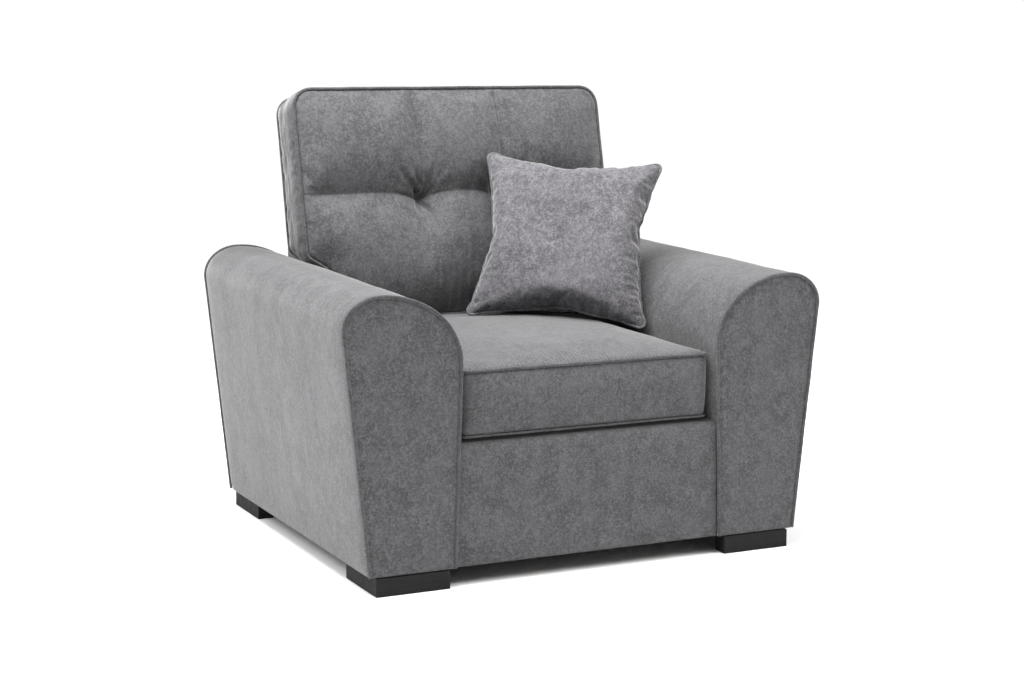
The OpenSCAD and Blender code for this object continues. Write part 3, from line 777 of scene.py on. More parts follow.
@dataclass(frozen=True)
class ArmShape:
    """The section that both arms share, and how it rises towards the rear.

    Attributes:
        arch_in: How far the crest stands in from the outer face.
        outer_z: The height where the outer face meets the arch.
        inner_z: The height where the inner face meets the arch.
        crest_z: The height of the crest at the front.
        lean_out: How far the outer face leans over its height.
        lean_in: How far the inner face leans over its height.
        base_z: The height of the bottom of the arm.
        rise: How much the crest rises from front to rear.
    """

    arch_in: float = 81 * MM
    outer_z: float = 533 * MM
    inner_z: float = 457 * MM
    crest_z: float = 602 * MM
    lean_out: float = 52 * MM
    lean_in: float = 13 * MM
    base_z: float = 38 * MM
    rise: float = 15 * MM

    @property
    def ends(self) -> tuple[Vector, Vector]:
        """The lowest and highest corner of the right arm's piping."""
        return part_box("arm_piping_right")

    @property
    def front(self) -> float:
        """Y of the arm's front."""
        return self.ends[0].y

    @property
    def rear(self) -> float:
        """Y of the arm's rear."""
        return self.ends[1].y

    @property
    def x_out(self) -> float:
        """X of the arm's widest point."""
        return self.ends[1].x

    @property
    def x_in(self) -> float:
        """X of the inner face, where it meets the arch."""
        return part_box("arm_piping_right")[0].x

    def lift(self, y: Array | float) -> Array | float:
        """How far the section has risen at a place along the arm."""
        return (y - self.front) * self.rise / (self.rear - self.front)

    def inner(self, z: Array, y: Array | float, gap: float = 0.0) -> Array:
        """X of the arm's inner face at a height, a gap away from it.

        Args:
            z: Heights.
            y: Places along the arm.
            gap: How far inside the chair from the face to measure.

        Returns:
            X on the right of the chair. Above the crest it is very large.
        """
        h = z - self.lift(y)
        flat = self.x_in + (self.inner_z - h) * self.lean_in / (self.inner_z - self.base_z) - gap
        wide = self.x_out - self.arch_in - self.x_in + gap
        tall = self.crest_z - self.inner_z + gap
        t = (h - self.inner_z) / tall
        bend = self.x_out - self.arch_in - wide * np.sqrt(np.clip(1 - t * t, 0, 1))
        return np.where(h < self.inner_z, flat, np.where(t >= 1, 9.0, bend))

    def section(self, u: Array, y: Array | float, deep: Array | float, low: float) -> tuple[Array, Array]:
        """Points of the arm's section, from the foot of its inner face over to its outer one.

        Args:
            u: Shares of the way round, 0 to 1.
            y: Places along the arm.
            deep: How far inside the outline to measure.
            low: The height that both faces stop at.

        Returns:
            X on the right of the chair, and Z.
        """
        lift = self.lift(y)
        h0 = low - lift
        over_in = self.x_out - self.arch_in - self.x_in - deep
        over_out = self.arch_in - deep
        runs = (self.inner_z - self.base_z, 0.255, 0.118, self.outer_z - self.base_z)
        cuts = np.cumsum((0,) + runs) / sum(runs)
        parts = [np.clip((u - a) / (b - a), 0, 1) for a, b in zip(cuts[:-1], cuts[1:])]
        h_in = h0 + (self.inner_z - h0) * parts[0]
        h_out = self.outer_z + (h0 - self.outer_z) * parts[3]
        x_a = self.x_in + (self.inner_z - h_in) * self.lean_in / (self.inner_z - self.base_z) + deep
        x_d = self.x_out - (self.outer_z - h_out) * self.lean_out / (self.outer_z - self.base_z) - deep
        a1, a2 = parts[1] * math.pi / 2, parts[2] * math.pi / 2
        apex = self.x_out - self.arch_in
        x_b, z_b = apex - over_in * np.cos(a1), self.inner_z + (self.crest_z - self.inner_z - deep) * np.sin(a1)
        x_c, z_c = apex + over_out * np.sin(a2), self.outer_z + (self.crest_z - self.outer_z - deep) * np.cos(a2)
        x = np.select([u <= cuts[1], u <= cuts[2], u <= cuts[3]], [x_a, x_b, x_c], x_d)
        z = np.select([u <= cuts[1], u <= cuts[2], u <= cuts[3]], [h_in, z_b, z_c], h_out)
        return x, z + lift


ARM = ArmShape()


@dataclass(frozen=True)
class Sewing:
    """Sizes that every cover shares.

    Attributes:
        cloth: The thickness of a cover.
        cord: The diameter of the piping.
        proud: How far piping stands above a cover.
        foot: The height of the covers' bottom edge.
    """

    cloth: float = 3 * MM
    cord: float = 7 * MM
    proud: float = 2 * MM
    foot: float = 40 * MM


SEWING = Sewing()


# ---------------------------------------------------------------- arms


@dataclass(frozen=True)
class Arm:
    """One arm's cover, front and rear panels, and piping.

    Attributes:
        side: Which arm it is.
        crown: How far the front panel swells out at its middle.
        tuck: How far the cover dips into a seam.
        slack: How uneven the stretched cloth is.
    """

    side: Side
    crown: float = 5 * MM
    tuck: float = 1.6 * MM
    slack: float = 1.6 * MM

    def cover(self) -> bpy.types.Object:
        """Stretches the cover over the arch and down both faces."""
        y0, y1 = ARM.front + SEWING.cord * 0.75, ARM.rear - SEWING.cord * 0.75

        def shape(u: Array, v: Array) -> tuple[Array, Array, Array]:
            y = y0 + (y1 - y0) * (0.5 - 0.5 * np.cos(np.pi * v)) ** 0.9
            near = np.minimum(y - y0, y1 - y)
            deep = SEWING.proud * 0.5 + self.tuck * bell(near, 8 * MM) + 1.4 * MM * bell(near, 30 * MM)
            x, z = ARM.section(u, y, deep, SEWING.foot)
            return x, y, z

        obj = Bench.drape(f"arm_cloth_{self.side.word}", 150, 96, shape)
        co = Bench.points(obj)
        out = self._outward(co)
        pull = np.minimum(np.minimum(co[:, 1] - y0, y1 - co[:, 1]) / 0.12, (co[:, 2] - SEWING.foot) / 0.05)
        wave = ripple(co * (1, 1, 0.7), 0.16, 3.1 + self.side) + 0.35 * ripple(co * (1, 1, 0.5), 0.05, 7.7 + self.side)
        outer = step(co[:, 0], ARM.x_in + 0.01, ARM.x_in + 0.06)
        co = co + out * (wave * self.slack * np.clip(pull, 0, 1) * outer)[:, None]
        low = bell(co[:, 2] - SEWING.foot, 9 * MM)
        co = co - out * (low * 2.5 * MM)[:, None]
        Bench.put(obj, self._mirror(co))
        # Painted shade: the 'seam' attribute darkens the cover where it meets the piping at both ends.
        Bench.attribute(obj, "seam", 0.55 * bell(np.minimum(co[:, 1] - y0, y1 - co[:, 1]) - 1 * MM, 4 * MM))
        Bench.face(obj, lambda p: self._mirror(self._outward(self._mirror(p))))
        Bench.thicken(obj, SEWING.cloth)
        Bench.smooth(obj)
        return Bench.dress(obj, Body.ROOT, Slot.CHENILLE, CHENILLE, f"arm_cover_{self.side.word}")

    def _mirror(self, co: Array) -> Array:
        """Moves points between the right of the chair and this arm's side."""
        return co * (self.side.value, 1, 1)

    def _outward(self, co: Array) -> Array:
        """The way out from the middle of the arm's section, level or upwards."""
        mid = np.stack([np.full(len(co), (ARM.x_in + ARM.x_out) / 2), co[:, 1], np.minimum(co[:, 2], 0.46)], 1)
        way = co - mid
        way[:, 1] = 0
        return way / np.maximum(np.linalg.norm(way, axis=1), 1e-9)[:, None]

    def panel(self, rear: bool) -> bpy.types.Object:
        """Fills one end of the arm with a padded panel inside its piping.

        Args:
            rear: Whether it is the flat rear panel or the crowned front one.

        Returns:
            The panel.
        """
        edge = ARM.rear - 4 * MM if rear else ARM.front + 4 * MM
        swell = (1.0 * MM if rear else self.crown) * (1 if rear else -1)
        proud = (edge + 1 * MM) if rear else (edge - 1 * MM)

        def shape(u: Array, v: Array) -> tuple[Array, Array, Array]:
            rim_x, rim_z = ARM.section(np.clip(u / 0.84, 0, 1), edge, SEWING.cord * 0.7, SEWING.foot)
            ends, _ = ARM.section(np.array([1.0, 0.0]), edge, SEWING.cord * 0.7, SEWING.foot)
            across = np.clip((u - 0.84) / 0.16, 0, 1)
            rim_x = rim_x + (ends[1] - ends[0]) * across
            lift = ARM.lift(edge)
            low, high = SEWING.foot + 0.11, ARM.inner_z + lift - 0.01
            mid_z = np.clip(rim_z, low, high)
            x_a = ARM.inner(mid_z, edge)
            x_b = ARM.x_out - (ARM.outer_z + lift - mid_z) * ARM.lean_out / (ARM.outer_z - ARM.base_z)
            mid_x = (x_a + x_b) / 2
            t = v ** 0.8
            x, z = rim_x + (mid_x - rim_x) * t, rim_z + (mid_z - rim_z) * t
            y = proud + swell * (step(v, 0, 0.8) - 0.4 * bell(v, 0.03))
            return x, y, z

        where = "rear" if rear else "front"
        obj = Bench.drape(f"arm_{where}_panel_{self.side.word}", 200, 30, shape)
        co = Bench.points(obj)
        inside = step(-np.abs(co[:, 1] - proud), -5 * MM, 0)
        wave = ripple(co, 0.11, 11.3 + self.side) + 0.4 * ripple(co, 0.04, 2.9)
        co[:, 1] += wave * 1.0 * MM * (0.3 + 0.7 * (1 - inside))
        Bench.put(obj, self._mirror(co))
        Bench.weld(obj, 0.0004)
        Bench.face(obj, lambda p: np.tile([0.0, 1.0 if rear else -1.0, 0.0], (len(p), 1)))
        Bench.thicken(obj, SEWING.cloth)
        Bench.smooth(obj)
        node = "outside_back_cover" if rear else f"arm_front_panel_{self.side.word}"
        return Bench.dress(obj, Body.ROOT, Slot.CHENILLE, CHENILLE, *(() if rear else (node,)))

    def piping(self) -> bpy.types.Object:
        """Runs a cord round the front edge and round the rear edge."""
        cords = []
        for y in (ARM.front + SEWING.cord / 2, ARM.rear - SEWING.cord / 2):
            x, z = ARM.section(np.linspace(0, 1, 420), y, SEWING.cord / 2, SEWING.foot + 1 * MM)
            path = even(np.stack([x, np.full_like(x, y), z], 1), 330)
            path += np.stack([ripple(path, 0.05, 4.4 + k) * 0.5 * MM for k in range(3)], 1)
            cords.append(Bench.pipe("cord", self._mirror(path), SEWING.cord / 2))
        Bench.clear()
        for cord in cords:
            cord.select_set(True)
        bpy.context.view_layer.objects.active = cords[0]
        bpy.ops.object.join()
        obj = Bench.name(bpy.context.object, f"arm_cord_{self.side.word}")
        return Bench.dress(obj, Body.ROOT, Slot.PIPING, PIPING, f"arm_piping_{self.side.word}")

    def build(self) -> list[bpy.types.Object]:
        """Makes the whole arm."""
        return [self.cover(), self.panel(rear=False), self.panel(rear=True), self.piping()]


# ---------------------------------------------------------------- front rail


@dataclass(frozen=True)
class FrontRail:
    """The padded panel across the front, below the seat cushion.

    Attributes:
        edge: The radius of its top edge.
        swell: How far it swells out at its middle.
    """

    edge: float = 18 * MM
    swell: float = 4 * MM

    def build(self) -> bpy.types.Object:
        """Rolls the cover up the front of the rail and back over its top."""
        low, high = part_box("front_rail_cover")
        rise = high.z - low.z - self.edge
        turn = self.edge * math.pi / 2
        back = high.y - low.y - self.edge
        length = rise + turn + back

        def shape(u: Array, v: Array) -> tuple[Array, Array, Array]:
            s = v * length
            angle = np.clip((s - rise) / self.edge, 0, math.pi / 2)
            y = low.y + self.edge * (1 - np.cos(angle)) + np.clip(s - rise - turn, 0, None)
            z = low.z + np.minimum(s, rise) + self.edge * np.sin(angle)
            half = ARM.inner(z, y) + SEWING.proud - 1 * MM
            x = (2 * u - 1) * half
            face = step(1 - np.abs(2 * u - 1), 0, 0.22)
            y = y - self.swell * face * step(s, 0, 0.05) * step(rise + 0.02 - s, 0, 0.08)
            return x, y + 2.5 * MM * bell(s, 8 * MM), z

        obj = Bench.drape("front_rail_cloth", 150, 84, shape)
        co = Bench.points(obj)
        free = step(high.z - 0.02 - co[:, 2], 0, 0.05) * step(0.275 - np.abs(co[:, 0]), -0.02, 0.06)
        wave = ripple(co * (0.6, 1, 1.3), 0.1, 5.9) + 0.4 * ripple(co, 0.035, 1.7)
        co[:, 1] += (wave * 1.6 - 1.0) * MM * free * step(co[:, 2] - low.z, 0.004, 0.05)
        Bench.put(obj, co)
        # Painted shade: the 'seam' attribute darkens the top of the rail behind its rolled edge, where it runs under
        # the seat cushion.
        Bench.attribute(obj, "seam", step(co[:, 1], low.y + 0.3 * self.edge, low.y + 1.1 * self.edge))
        Bench.face(obj, lambda p: np.tile([0.0, -1.0, 0.35], (len(p), 1)))
        Bench.thicken(obj, SEWING.cloth)
        Bench.smooth(obj)
        return Bench.dress(obj, Body.ROOT, Slot.CHENILLE, CHENILLE, "front_rail_cover")


# ---------------------------------------------------------------- back of the frame


@dataclass(frozen=True)
class FrameBack:
    """The covers on the upright back: inside, border and outside.

    Attributes:
        lean: How far the inside back leans, in degrees.
        corner: The radius of the back's top corners.
    """

    lean: float = 13.0
    corner: float = 5 * MM

    def half(self, z: Array, y: Array | float, deep: float = 0.0) -> Array:
        """Half the back's width at a height, inside its outline by a depth."""
        low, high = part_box("back_border")
        wide = high.x - deep
        top = high.z - deep
        drop = np.clip((z - (top - self.corner)) / self.corner, 0, 1)
        wide = wide - self.corner * (1 - np.sqrt(np.clip(1 - drop * drop, 0, 1)))
        return np.minimum(ARM.inner(z, y, 0.8 * MM + deep), wide)

    def inside(self) -> bpy.types.Object:
        """Covers the face that the back cushion leans on."""
        low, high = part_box("inside_back_cover")
        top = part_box("back_border")[1].z
        slope = math.tan(math.radians(self.lean))

        def shape(u: Array, v: Array) -> tuple[Array, Array, Array]:
            z = low.z + (top - 1 * MM - low.z) * v
            y = low.y + (z - low.z) * slope
            x = (2 * u - 1) * (self.half(z, y) - 0.5 * MM)
            return x, y + 2 * MM * bell(1 - np.abs(2 * u - 1), 0.03), z

        obj = Bench.drape("back_inside_cloth", 90, 90, shape)
        Bench.face(obj, lambda p: np.tile([0.0, -1.0, 0.2], (len(p), 1)))
        Bench.thicken(obj, SEWING.cloth)
        Bench.smooth(obj)
        return Bench.dress(obj, Body.ROOT, Slot.CHENILLE, CHENILLE, "inside_back_cover")

    def outside(self) -> bpy.types.Object:
        """Covers the whole rear of the back, down to the bottom of the chair."""
        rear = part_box("outside_back_cover")[1].y
        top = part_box("back_border")[1].z

        def shape(u: Array, v: Array) -> tuple[Array, Array, Array]:
            z = SEWING.foot + (top - 0.5 * MM - SEWING.foot) * v
            half = self.half(z, rear) - 0.5 * MM
            x = (2 * u - 1) * half
            rim = np.minimum(half - np.abs(x), top - z)
            y = rear - 2 * MM + 2.2 * MM * step(rim, 0, 0.012)
            return x, y, z

        obj = Bench.drape("back_outside_cloth", 110, 110, shape)
        co = Bench.points(obj)
        rim = np.minimum(self.half(co[:, 2], rear) - np.abs(co[:, 0]), top - co[:, 2])
        co[:, 1] += 1.0 * MM * ripple(co, 0.13, 6.2) * step(rim, 0.01, 0.1) - 0.6 * MM
        Bench.put(obj, co)
        Bench.face(obj, lambda p: np.tile([0.0, 1.0, 0.0], (len(p), 1)))
        Bench.thicken(obj, SEWING.cloth)
        Bench.smooth(obj)
        return Bench.dress(obj, Body.ROOT, Slot.CHENILLE, CHENILLE, "outside_back_cover")

    def border(self) -> bpy.types.Object:
        """Wraps the strip round the sides and top, from the inside to the outside."""
        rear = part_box("outside_back_cover")[1].y - 2 * MM
        low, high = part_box("inside_back_cover")
        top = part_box("back_border")[1].z
        slope = math.tan(math.radians(self.lean))
        heights = np.r_[np.linspace(low.z, top - self.corner, 90), top - self.corner + self.corner * np.sin(np.linspace(0, math.pi / 2, 14))[1:]]
        side = np.stack([self.half(heights, rear), heights], 1)
        path = even(np.vstack([side, side[::-1] * (-1, 1)]), 281)

        def shape(u: Array, v: Array) -> tuple[Array, Array, Array]:
            at = u * (len(path) - 1)
            x, z = (np.interp(at, np.arange(len(path)), path[:, k]) for k in range(2))
            front = low.y + (z - low.z) * slope
            y = front + (rear - front) * v
            x = np.sign(x) * np.minimum(np.abs(x), self.half(z, y))
            return x, y, z

        obj = Bench.drape("back_border_cloth", 280, 24, shape)
        Bench.face(obj, lambda p: p * (1, 0, 1) - (0, 0, 0.3))
        Bench.thicken(obj, SEWING.cloth)
        Bench.smooth(obj)
        return Bench.dress(obj, Body.ROOT, Slot.CHENILLE, CHENILLE, "back_border")

    def build(self) -> list[bpy.types.Object]:
        """Makes the three covers of the back."""
        return [self.inside(), self.border(), self.outside()]


# ---------------------------------------------------------------- cushions


@dataclass(frozen=True)
class Stuffing:
    """How a closed cover is filled until it is taut.

    Attributes:
        pressure: How hard the filling pushes.
        cap: The furthest that a point may move.
        bending: How stiff the cloth is against folding.
        slack: How much larger the cloth is cut than the pad.
        frames: How many steps it is given to settle.
    """

    pressure: float = 4.0
    cap: float = 12 * MM
    bending: float = 0.5
    slack: float = 0.0
    frames: int = 20

    def fill(self, obj: bpy.types.Object, held: Array) -> None:
        """Swells a pad with its held points kept in place.

        Args:
            obj: The pad, a closed mesh.
            held: How firmly each point is held, 0 to 1.
        """
        rest = Bench.points(obj)
        group = obj.vertex_groups.new(name="held")
        for index in np.flatnonzero(held > 0.01):
            group.add([int(index)], float(held[index]), "REPLACE")
        Bench.take(obj)
        cloth = obj.modifiers.new("Cloth", "CLOTH")
        cloth.settings.quality = 5
        cloth.settings.mass = 0.25
        cloth.settings.tension_stiffness = 15
        cloth.settings.compression_stiffness = 15
        cloth.settings.shear_stiffness = 8
        cloth.settings.bending_stiffness = self.bending
        cloth.settings.air_damping = 2.0
        cloth.settings.use_pressure = True
        cloth.settings.uniform_pressure_force = self.pressure
        cloth.settings.shrink_min = -self.slack
        cloth.settings.shrink_max = -self.slack
        cloth.settings.vertex_group_mass = "held"
        cloth.settings.effector_weights.gravity = 0
        cloth.point_cache.frame_start = 1
        cloth.point_cache.frame_end = self.frames
        for index in range(1, self.frames + 1):
            bpy.context.scene.frame_set(index)
        bpy.ops.object.modifier_apply(modifier=cloth.name)
        bpy.context.scene.frame_set(1)
        moved = Bench.points(obj) - rest
        length = np.maximum(np.linalg.norm(moved, axis=1), 1e-9)
        Bench.put(obj, rest + moved * np.minimum(1, self.cap / length)[:, None])
        obj.vertex_groups.clear()


def remesh(obj: bpy.types.Object, cell: float, grow: float = 0.0) -> None:
    """Rebuilds a closed solid as an even net of small squares, and grows it a little."""
    Bench.modify(obj, "REMESH", mode="VOXEL", voxel_size=cell, use_smooth_shade=True)
    Bench.put(obj, Bench.points(obj) + Bench.normals(obj) * grow)


@dataclass(frozen=True)
class SeatCushion:
    """The box seat cushion: a crowned top, a plain border and two rows of piping.

    Attributes:
        border: The height of its border.
        corner: The radius of its upright corners.
        lip: How far the lower piping stands above the deck.
        belly: How far the border swells between its two rows of piping.
        cell: The size of the mesh it is filled at.
        stuffing: How it is filled.
    """

    border: float = 146 * MM
    corner: float = 30 * MM
    lip: float = 6 * MM
    belly: float = 6 * MM
    cell: float = 8.5 * MM
    stuffing: Stuffing = field(default_factory=lambda: Stuffing(pressure=90.0, cap=15 * MM, bending=1.0))

    def rings(self) -> list[Array]:
        """The paths of the bottom and the top piping."""
        low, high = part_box("seat_cushion_piping")
        r = SEWING.cord / 2
        out = []
        for z in (low.z + r + self.lip, low.z + self.border - r):
            corner = self.corner - r
            turn = np.linspace(0, math.pi / 2, 9)
            path = []
            for sx, sy, start in ((1, 1, 0), (-1, 1, 1), (-1, -1, 2), (1, -1, 3)):
                cx = (high.x - r - corner) * sx
                cy = (high.y - r - corner) if sy > 0 else (low.y + r + corner)
                angle = turn + start * math.pi / 2
                path.append(np.stack([cx + corner * np.cos(angle), cy + corner * np.sin(angle), np.full(9, z)], 1))
            out.append(self._squared(even(np.vstack(path), 700, closed=True)))
        return out

    def _squared(self, co: Array) -> Array:
        """Fills out the two front corners, as firm stuffing does."""
        low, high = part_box("seat_cushion_piping")
        middle = np.array([high.x - self.corner, low.y + self.corner])
        off = np.stack([np.abs(co[:, 0]) - middle[0], middle[1] - co[:, 1]], 1)
        length = np.maximum(np.linalg.norm(off, axis=1), 1e-9)
        share = np.abs(off) / length[:, None]
        grow = np.where((off > 0).all(1), (share ** 4).sum(1) ** -0.25, 1.0)
        out = co.copy()
        out[:, 0] = np.where(grow > 1, np.sign(co[:, 0]) * (middle[0] + off[:, 0] * grow), co[:, 0])
        out[:, 1] = np.where(grow > 1, middle[1] - off[:, 1] * grow, co[:, 1])
        return out

    def build(self) -> list[bpy.types.Object]:
        """Fills the cushion and sews its piping on."""
        low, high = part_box("seat_cushion_piping")
        obj = Bench.copy("seat_cushion_core", "seat_pad")
        remesh(obj, self.cell, 3.2 * MM)
        co = self._squared(Bench.points(obj))
        Bench.put(obj, co)
        rings = self.rings()
        held = np.max([near_path(co, ring, 11 * MM) for ring in rings], 0)
        held = step(held, 0.0, 0.35)
        zip_low, zip_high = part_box("seat_zip")
        behind = (co[:, 1] > zip_low.y - 8 * MM) & (np.abs(co[:, 0]) < zip_high.x + 4 * MM)
        behind &= np.abs(co[:, 2] - (zip_low.z + zip_high.z) / 2) < 16 * MM
        held = np.maximum(held, behind)
        self.stuffing.fill(obj, held)
        co = Bench.points(obj)
        co[:, 2] = np.maximum(co[:, 2], low.z + 0.5 * MM)
        share = np.clip((co[:, 2] - rings[0][0, 2]) / (rings[1][0, 2] - rings[0][0, 2]), 0, 1)
        out = Bench.normals(obj) * (1, 1, 0)
        co += out * (self.belly * np.sin(np.pi * share) ** 0.7 * (co[:, 1] < zip_low.y - 0.05))[:, None]
        under = np.clip((low.z + self.lip + 2 * MM - co[:, 2]) / (self.lip + 2 * MM), 0, 1) ** 1.5
        co[:, 1] += np.where(co[:, 1] < low.y + 0.06, 8 * MM * under, 0)
        room = ARM.inner(co[:, 2], co[:, 1]) - 1 * MM
        co[:, 0] = np.clip(co[:, 0], -room, room)
        slope = math.tan(math.radians(13.0))
        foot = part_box("inside_back_cover")[0]
        co[:, 1] = np.minimum(co[:, 1], foot.y + (co[:, 2] - foot.z) * slope - 1 * MM)
        Bench.put(obj, co)
        Bench.modify(obj, "SUBSURF", levels=1, render_levels=1)
        self._finish(obj, rings)
        Bench.dress(obj, Body.SEAT, Slot.SEAT_CHENILLE, CHENILLE_SEAT, "seat_cushion_cover", "seat_cushion_core")
        cords = [Bench.pipe("cord", self._sag(ring), radius, closed=True) for ring, radius in zip(rings, (2.6 * MM, 3.2 * MM))]
        Bench.clear()
        for cord in cords:
            cord.select_set(True)
        bpy.context.view_layer.objects.active = cords[0]
        bpy.ops.object.join()
        cord = Bench.name(bpy.context.object, "seat_cord")
        Bench.dress(cord, Body.SEAT, Slot.PIPING, PIPING, "seat_cushion_piping")
        return [obj, cord]

    def _sag(self, path: Array) -> Array:
        """Lets a row of piping wander a little, as sewn piping does."""
        wave = np.stack([ripple(path, 0.07, 9.1 + k) for k in range(3)], 1)
        return path + wave * (0.5 * MM, 0.5 * MM, 0.9 * MM)

    def _finish(self, obj: bpy.types.Object, rings: list[Array]) -> None:
        """Beds the cloth down beside the piping, paints shade along it, and makes it slightly uneven."""
        co = Bench.points(obj)
        out = Bench.normals(obj)
        near = np.max([near_path(co, ring, 16 * MM) for ring in rings], 0)
        wave = ripple(co, 0.09, 2.2) + 0.4 * ripple(co, 0.03, 4.9)
        co = co + out * (wave * 1.2 * MM * (1 - near))[:, None]
        Bench.put(obj, co)
        # Painted shade: the 'seam' attribute darkens the cloth along both rows of piping.
        Bench.attribute(obj, "seam", step(near, 0.6, 0.8) * 0.5)
        Bench.smooth(obj, 60)


@dataclass(frozen=True)
class Pucker:
    """A fold that runs out from a tuft.

    Attributes:
        angle: Its direction seen from the front, in degrees up from the right.
        length: How far it runs.
        depth: How deep it is beside the tuft.
    """

    angle: float
    length: float
    depth: float


@dataclass(frozen=True)
class BackCushion:
    """The leaning back cushion: seamed and tufted face, plain border, two rows of piping.

    Attributes:
        lean: How far it leans back, in degrees.
        border: The width of its border.
        corner: The radius of its top corners.
        ear: How softly its sides turn out over the arms.
        arm_gap: The room left beside and above the arms.
        tuft_x: How far each tuft stands from the middle.
        tuft_drop: How far the tufts stand below the top.
        tuft_depth: How far a tuft is pulled in.
        tuft_sink: How far the level seam dips at a tuft.
        valley: How deep the level seam lies.
        dart: How deep the two upright seams lie.
        cell: The size of the mesh it is filled at.
        stuffing: How it is filled.
        puckers: The folds round the left tuft; the right one has them mirrored.
    """

    lean: float = 13.0
    border: float = 118 * MM
    corner: float = 45 * MM
    ear: float = 14 * MM
    arm_gap: float = 6 * MM
    tuft_x: float = 110 * MM
    tuft_drop: float = 245 * MM
    tuft_depth: float = 60 * MM
    tuft_sink: float = 14 * MM
    valley: float = 13 * MM
    dart: float = 4 * MM
    cell: float = 9 * MM
    stuffing: Stuffing = field(default_factory=lambda: Stuffing(pressure=85.0, cap=30 * MM, bending=0.5, slack=0.03))
    puckers: tuple[Pucker, ...] = (
        Pucker(112, 0.1, 5.0 * MM), Pucker(133, 0.13, 6.5 * MM), Pucker(152, 0.11, 5.0 * MM),
        Pucker(62, 0.1, 5.0 * MM), Pucker(38, 0.1, 5.0 * MM), Pucker(172, 0.08, 3.0 * MM), Pucker(14, 0.08, 3.0 * MM),
        Pucker(264, 0.13, 4.0 * MM), Pucker(285, 0.15, 5.5 * MM), Pucker(235, 0.07, 2.0 * MM),
        Pucker(308, 0.07, 2.0 * MM),
    )

    @property
    def place(self) -> Matrix:
        """Where the cushion's own upright frame stands in the chair."""
        low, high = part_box("back_cushion_piping")
        angle = math.radians(self.lean)
        foot = Vector((0, low.y, low.z + self.border * math.sin(angle)))
        return Matrix.Translation(foot) @ Matrix.Rotation(-angle, 4, "X")

    @property
    def height(self) -> float:
        """The cushion's height along its lean."""
        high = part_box("back_cushion_piping")[1]
        return (high.z - self.place.translation.z) / math.cos(math.radians(self.lean))

    def to_chair(self, co: Array) -> Array:
        """Moves points from the cushion's own frame into the chair's."""
        m = np.array(self.place)
        return co @ m[:3, :3].T + m[:3, 3]

    def half(self, z: Array, y: Array, deep: float, gap: float | None = None) -> Array:
        """Half the cushion's width at a height of its own, inside its outline by a depth."""
        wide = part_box("back_cushion_piping")[1].x - deep
        chair = self.to_chair(np.stack([np.zeros_like(z), y + np.zeros_like(z), z], 1))
        arm = np.minimum(ARM.inner(chair[:, 2], chair[:, 1], (self.arm_gap if gap is None else gap) + deep), wide + 0.2)
        share = np.clip(0.5 + 0.5 * (wide - arm) / self.ear, 0, 1)
        side = wide * (1 - share) + arm * share - self.ear * share * (1 - share)
        over = np.clip((z - (self.height - self.corner)) / (self.corner - deep), 0, 1)
        return side - (self.corner - deep) * (1 - np.sqrt(1 - over * over))

    def level(self, x: Array) -> Array:
        """The height of the level seam, which dips at each tuft."""
        away = np.abs(np.abs(x) - self.tuft_x)
        return self.height - self.tuft_drop + 1 * MM - self.tuft_sink * np.exp(-((away / 0.04) ** 1.3))

    def ring(self, y: float) -> Array:
        """The path of one row of piping, in the cushion's own frame."""
        r = SEWING.cord / 2
        turn = np.linspace(0, math.pi / 2, 24)
        z = np.r_[np.linspace(r, self.height - self.corner, 160), self.height - self.corner + (self.corner - r) * np.sin(turn)[1:]]
        side = self.half(z, np.full_like(z, y), r)
        right = np.stack([side, np.full_like(z, y), z], 1)
        path = even(np.vstack([right, right[::-1] * (-1, 1, 1)]), 900, closed=True)
        return relax(path, 14, closed=True)

    def pad(self) -> bpy.types.Object:
        """The filling's shape in the cushion's own frame, without its tie holes."""
        obj = Bench.copy("back_cushion_fill", "back_pad")
        obj.data.transform(self.place.inverted())
        co = Bench.points(obj)
        lane = np.hypot(np.abs(co[:, 0]) - self.tuft_x, co[:, 2] - (self.height - self.tuft_drop)) < 5 * MM
        Bench.take(obj)
        for kind in ("vertices", "edges", "polygons"):
            block = getattr(obj.data, kind)
            block.foreach_set("select", np.zeros(len(block), bool))
        for face in obj.data.polygons:
            face.select = all(lane[v] for v in face.vertices)
        bpy.ops.object.mode_set(mode="EDIT")
        bpy.ops.mesh.select_mode(type="FACE")
        bpy.ops.mesh.delete(type="FACE")
        bpy.ops.mesh.select_all(action="SELECT")
        bpy.ops.mesh.fill_holes(sides=0)
        bpy.ops.mesh.normals_make_consistent(inside=False)
        bpy.ops.object.mode_set(mode="OBJECT")
        remesh(obj, self.cell, 4.0 * MM)
        return obj

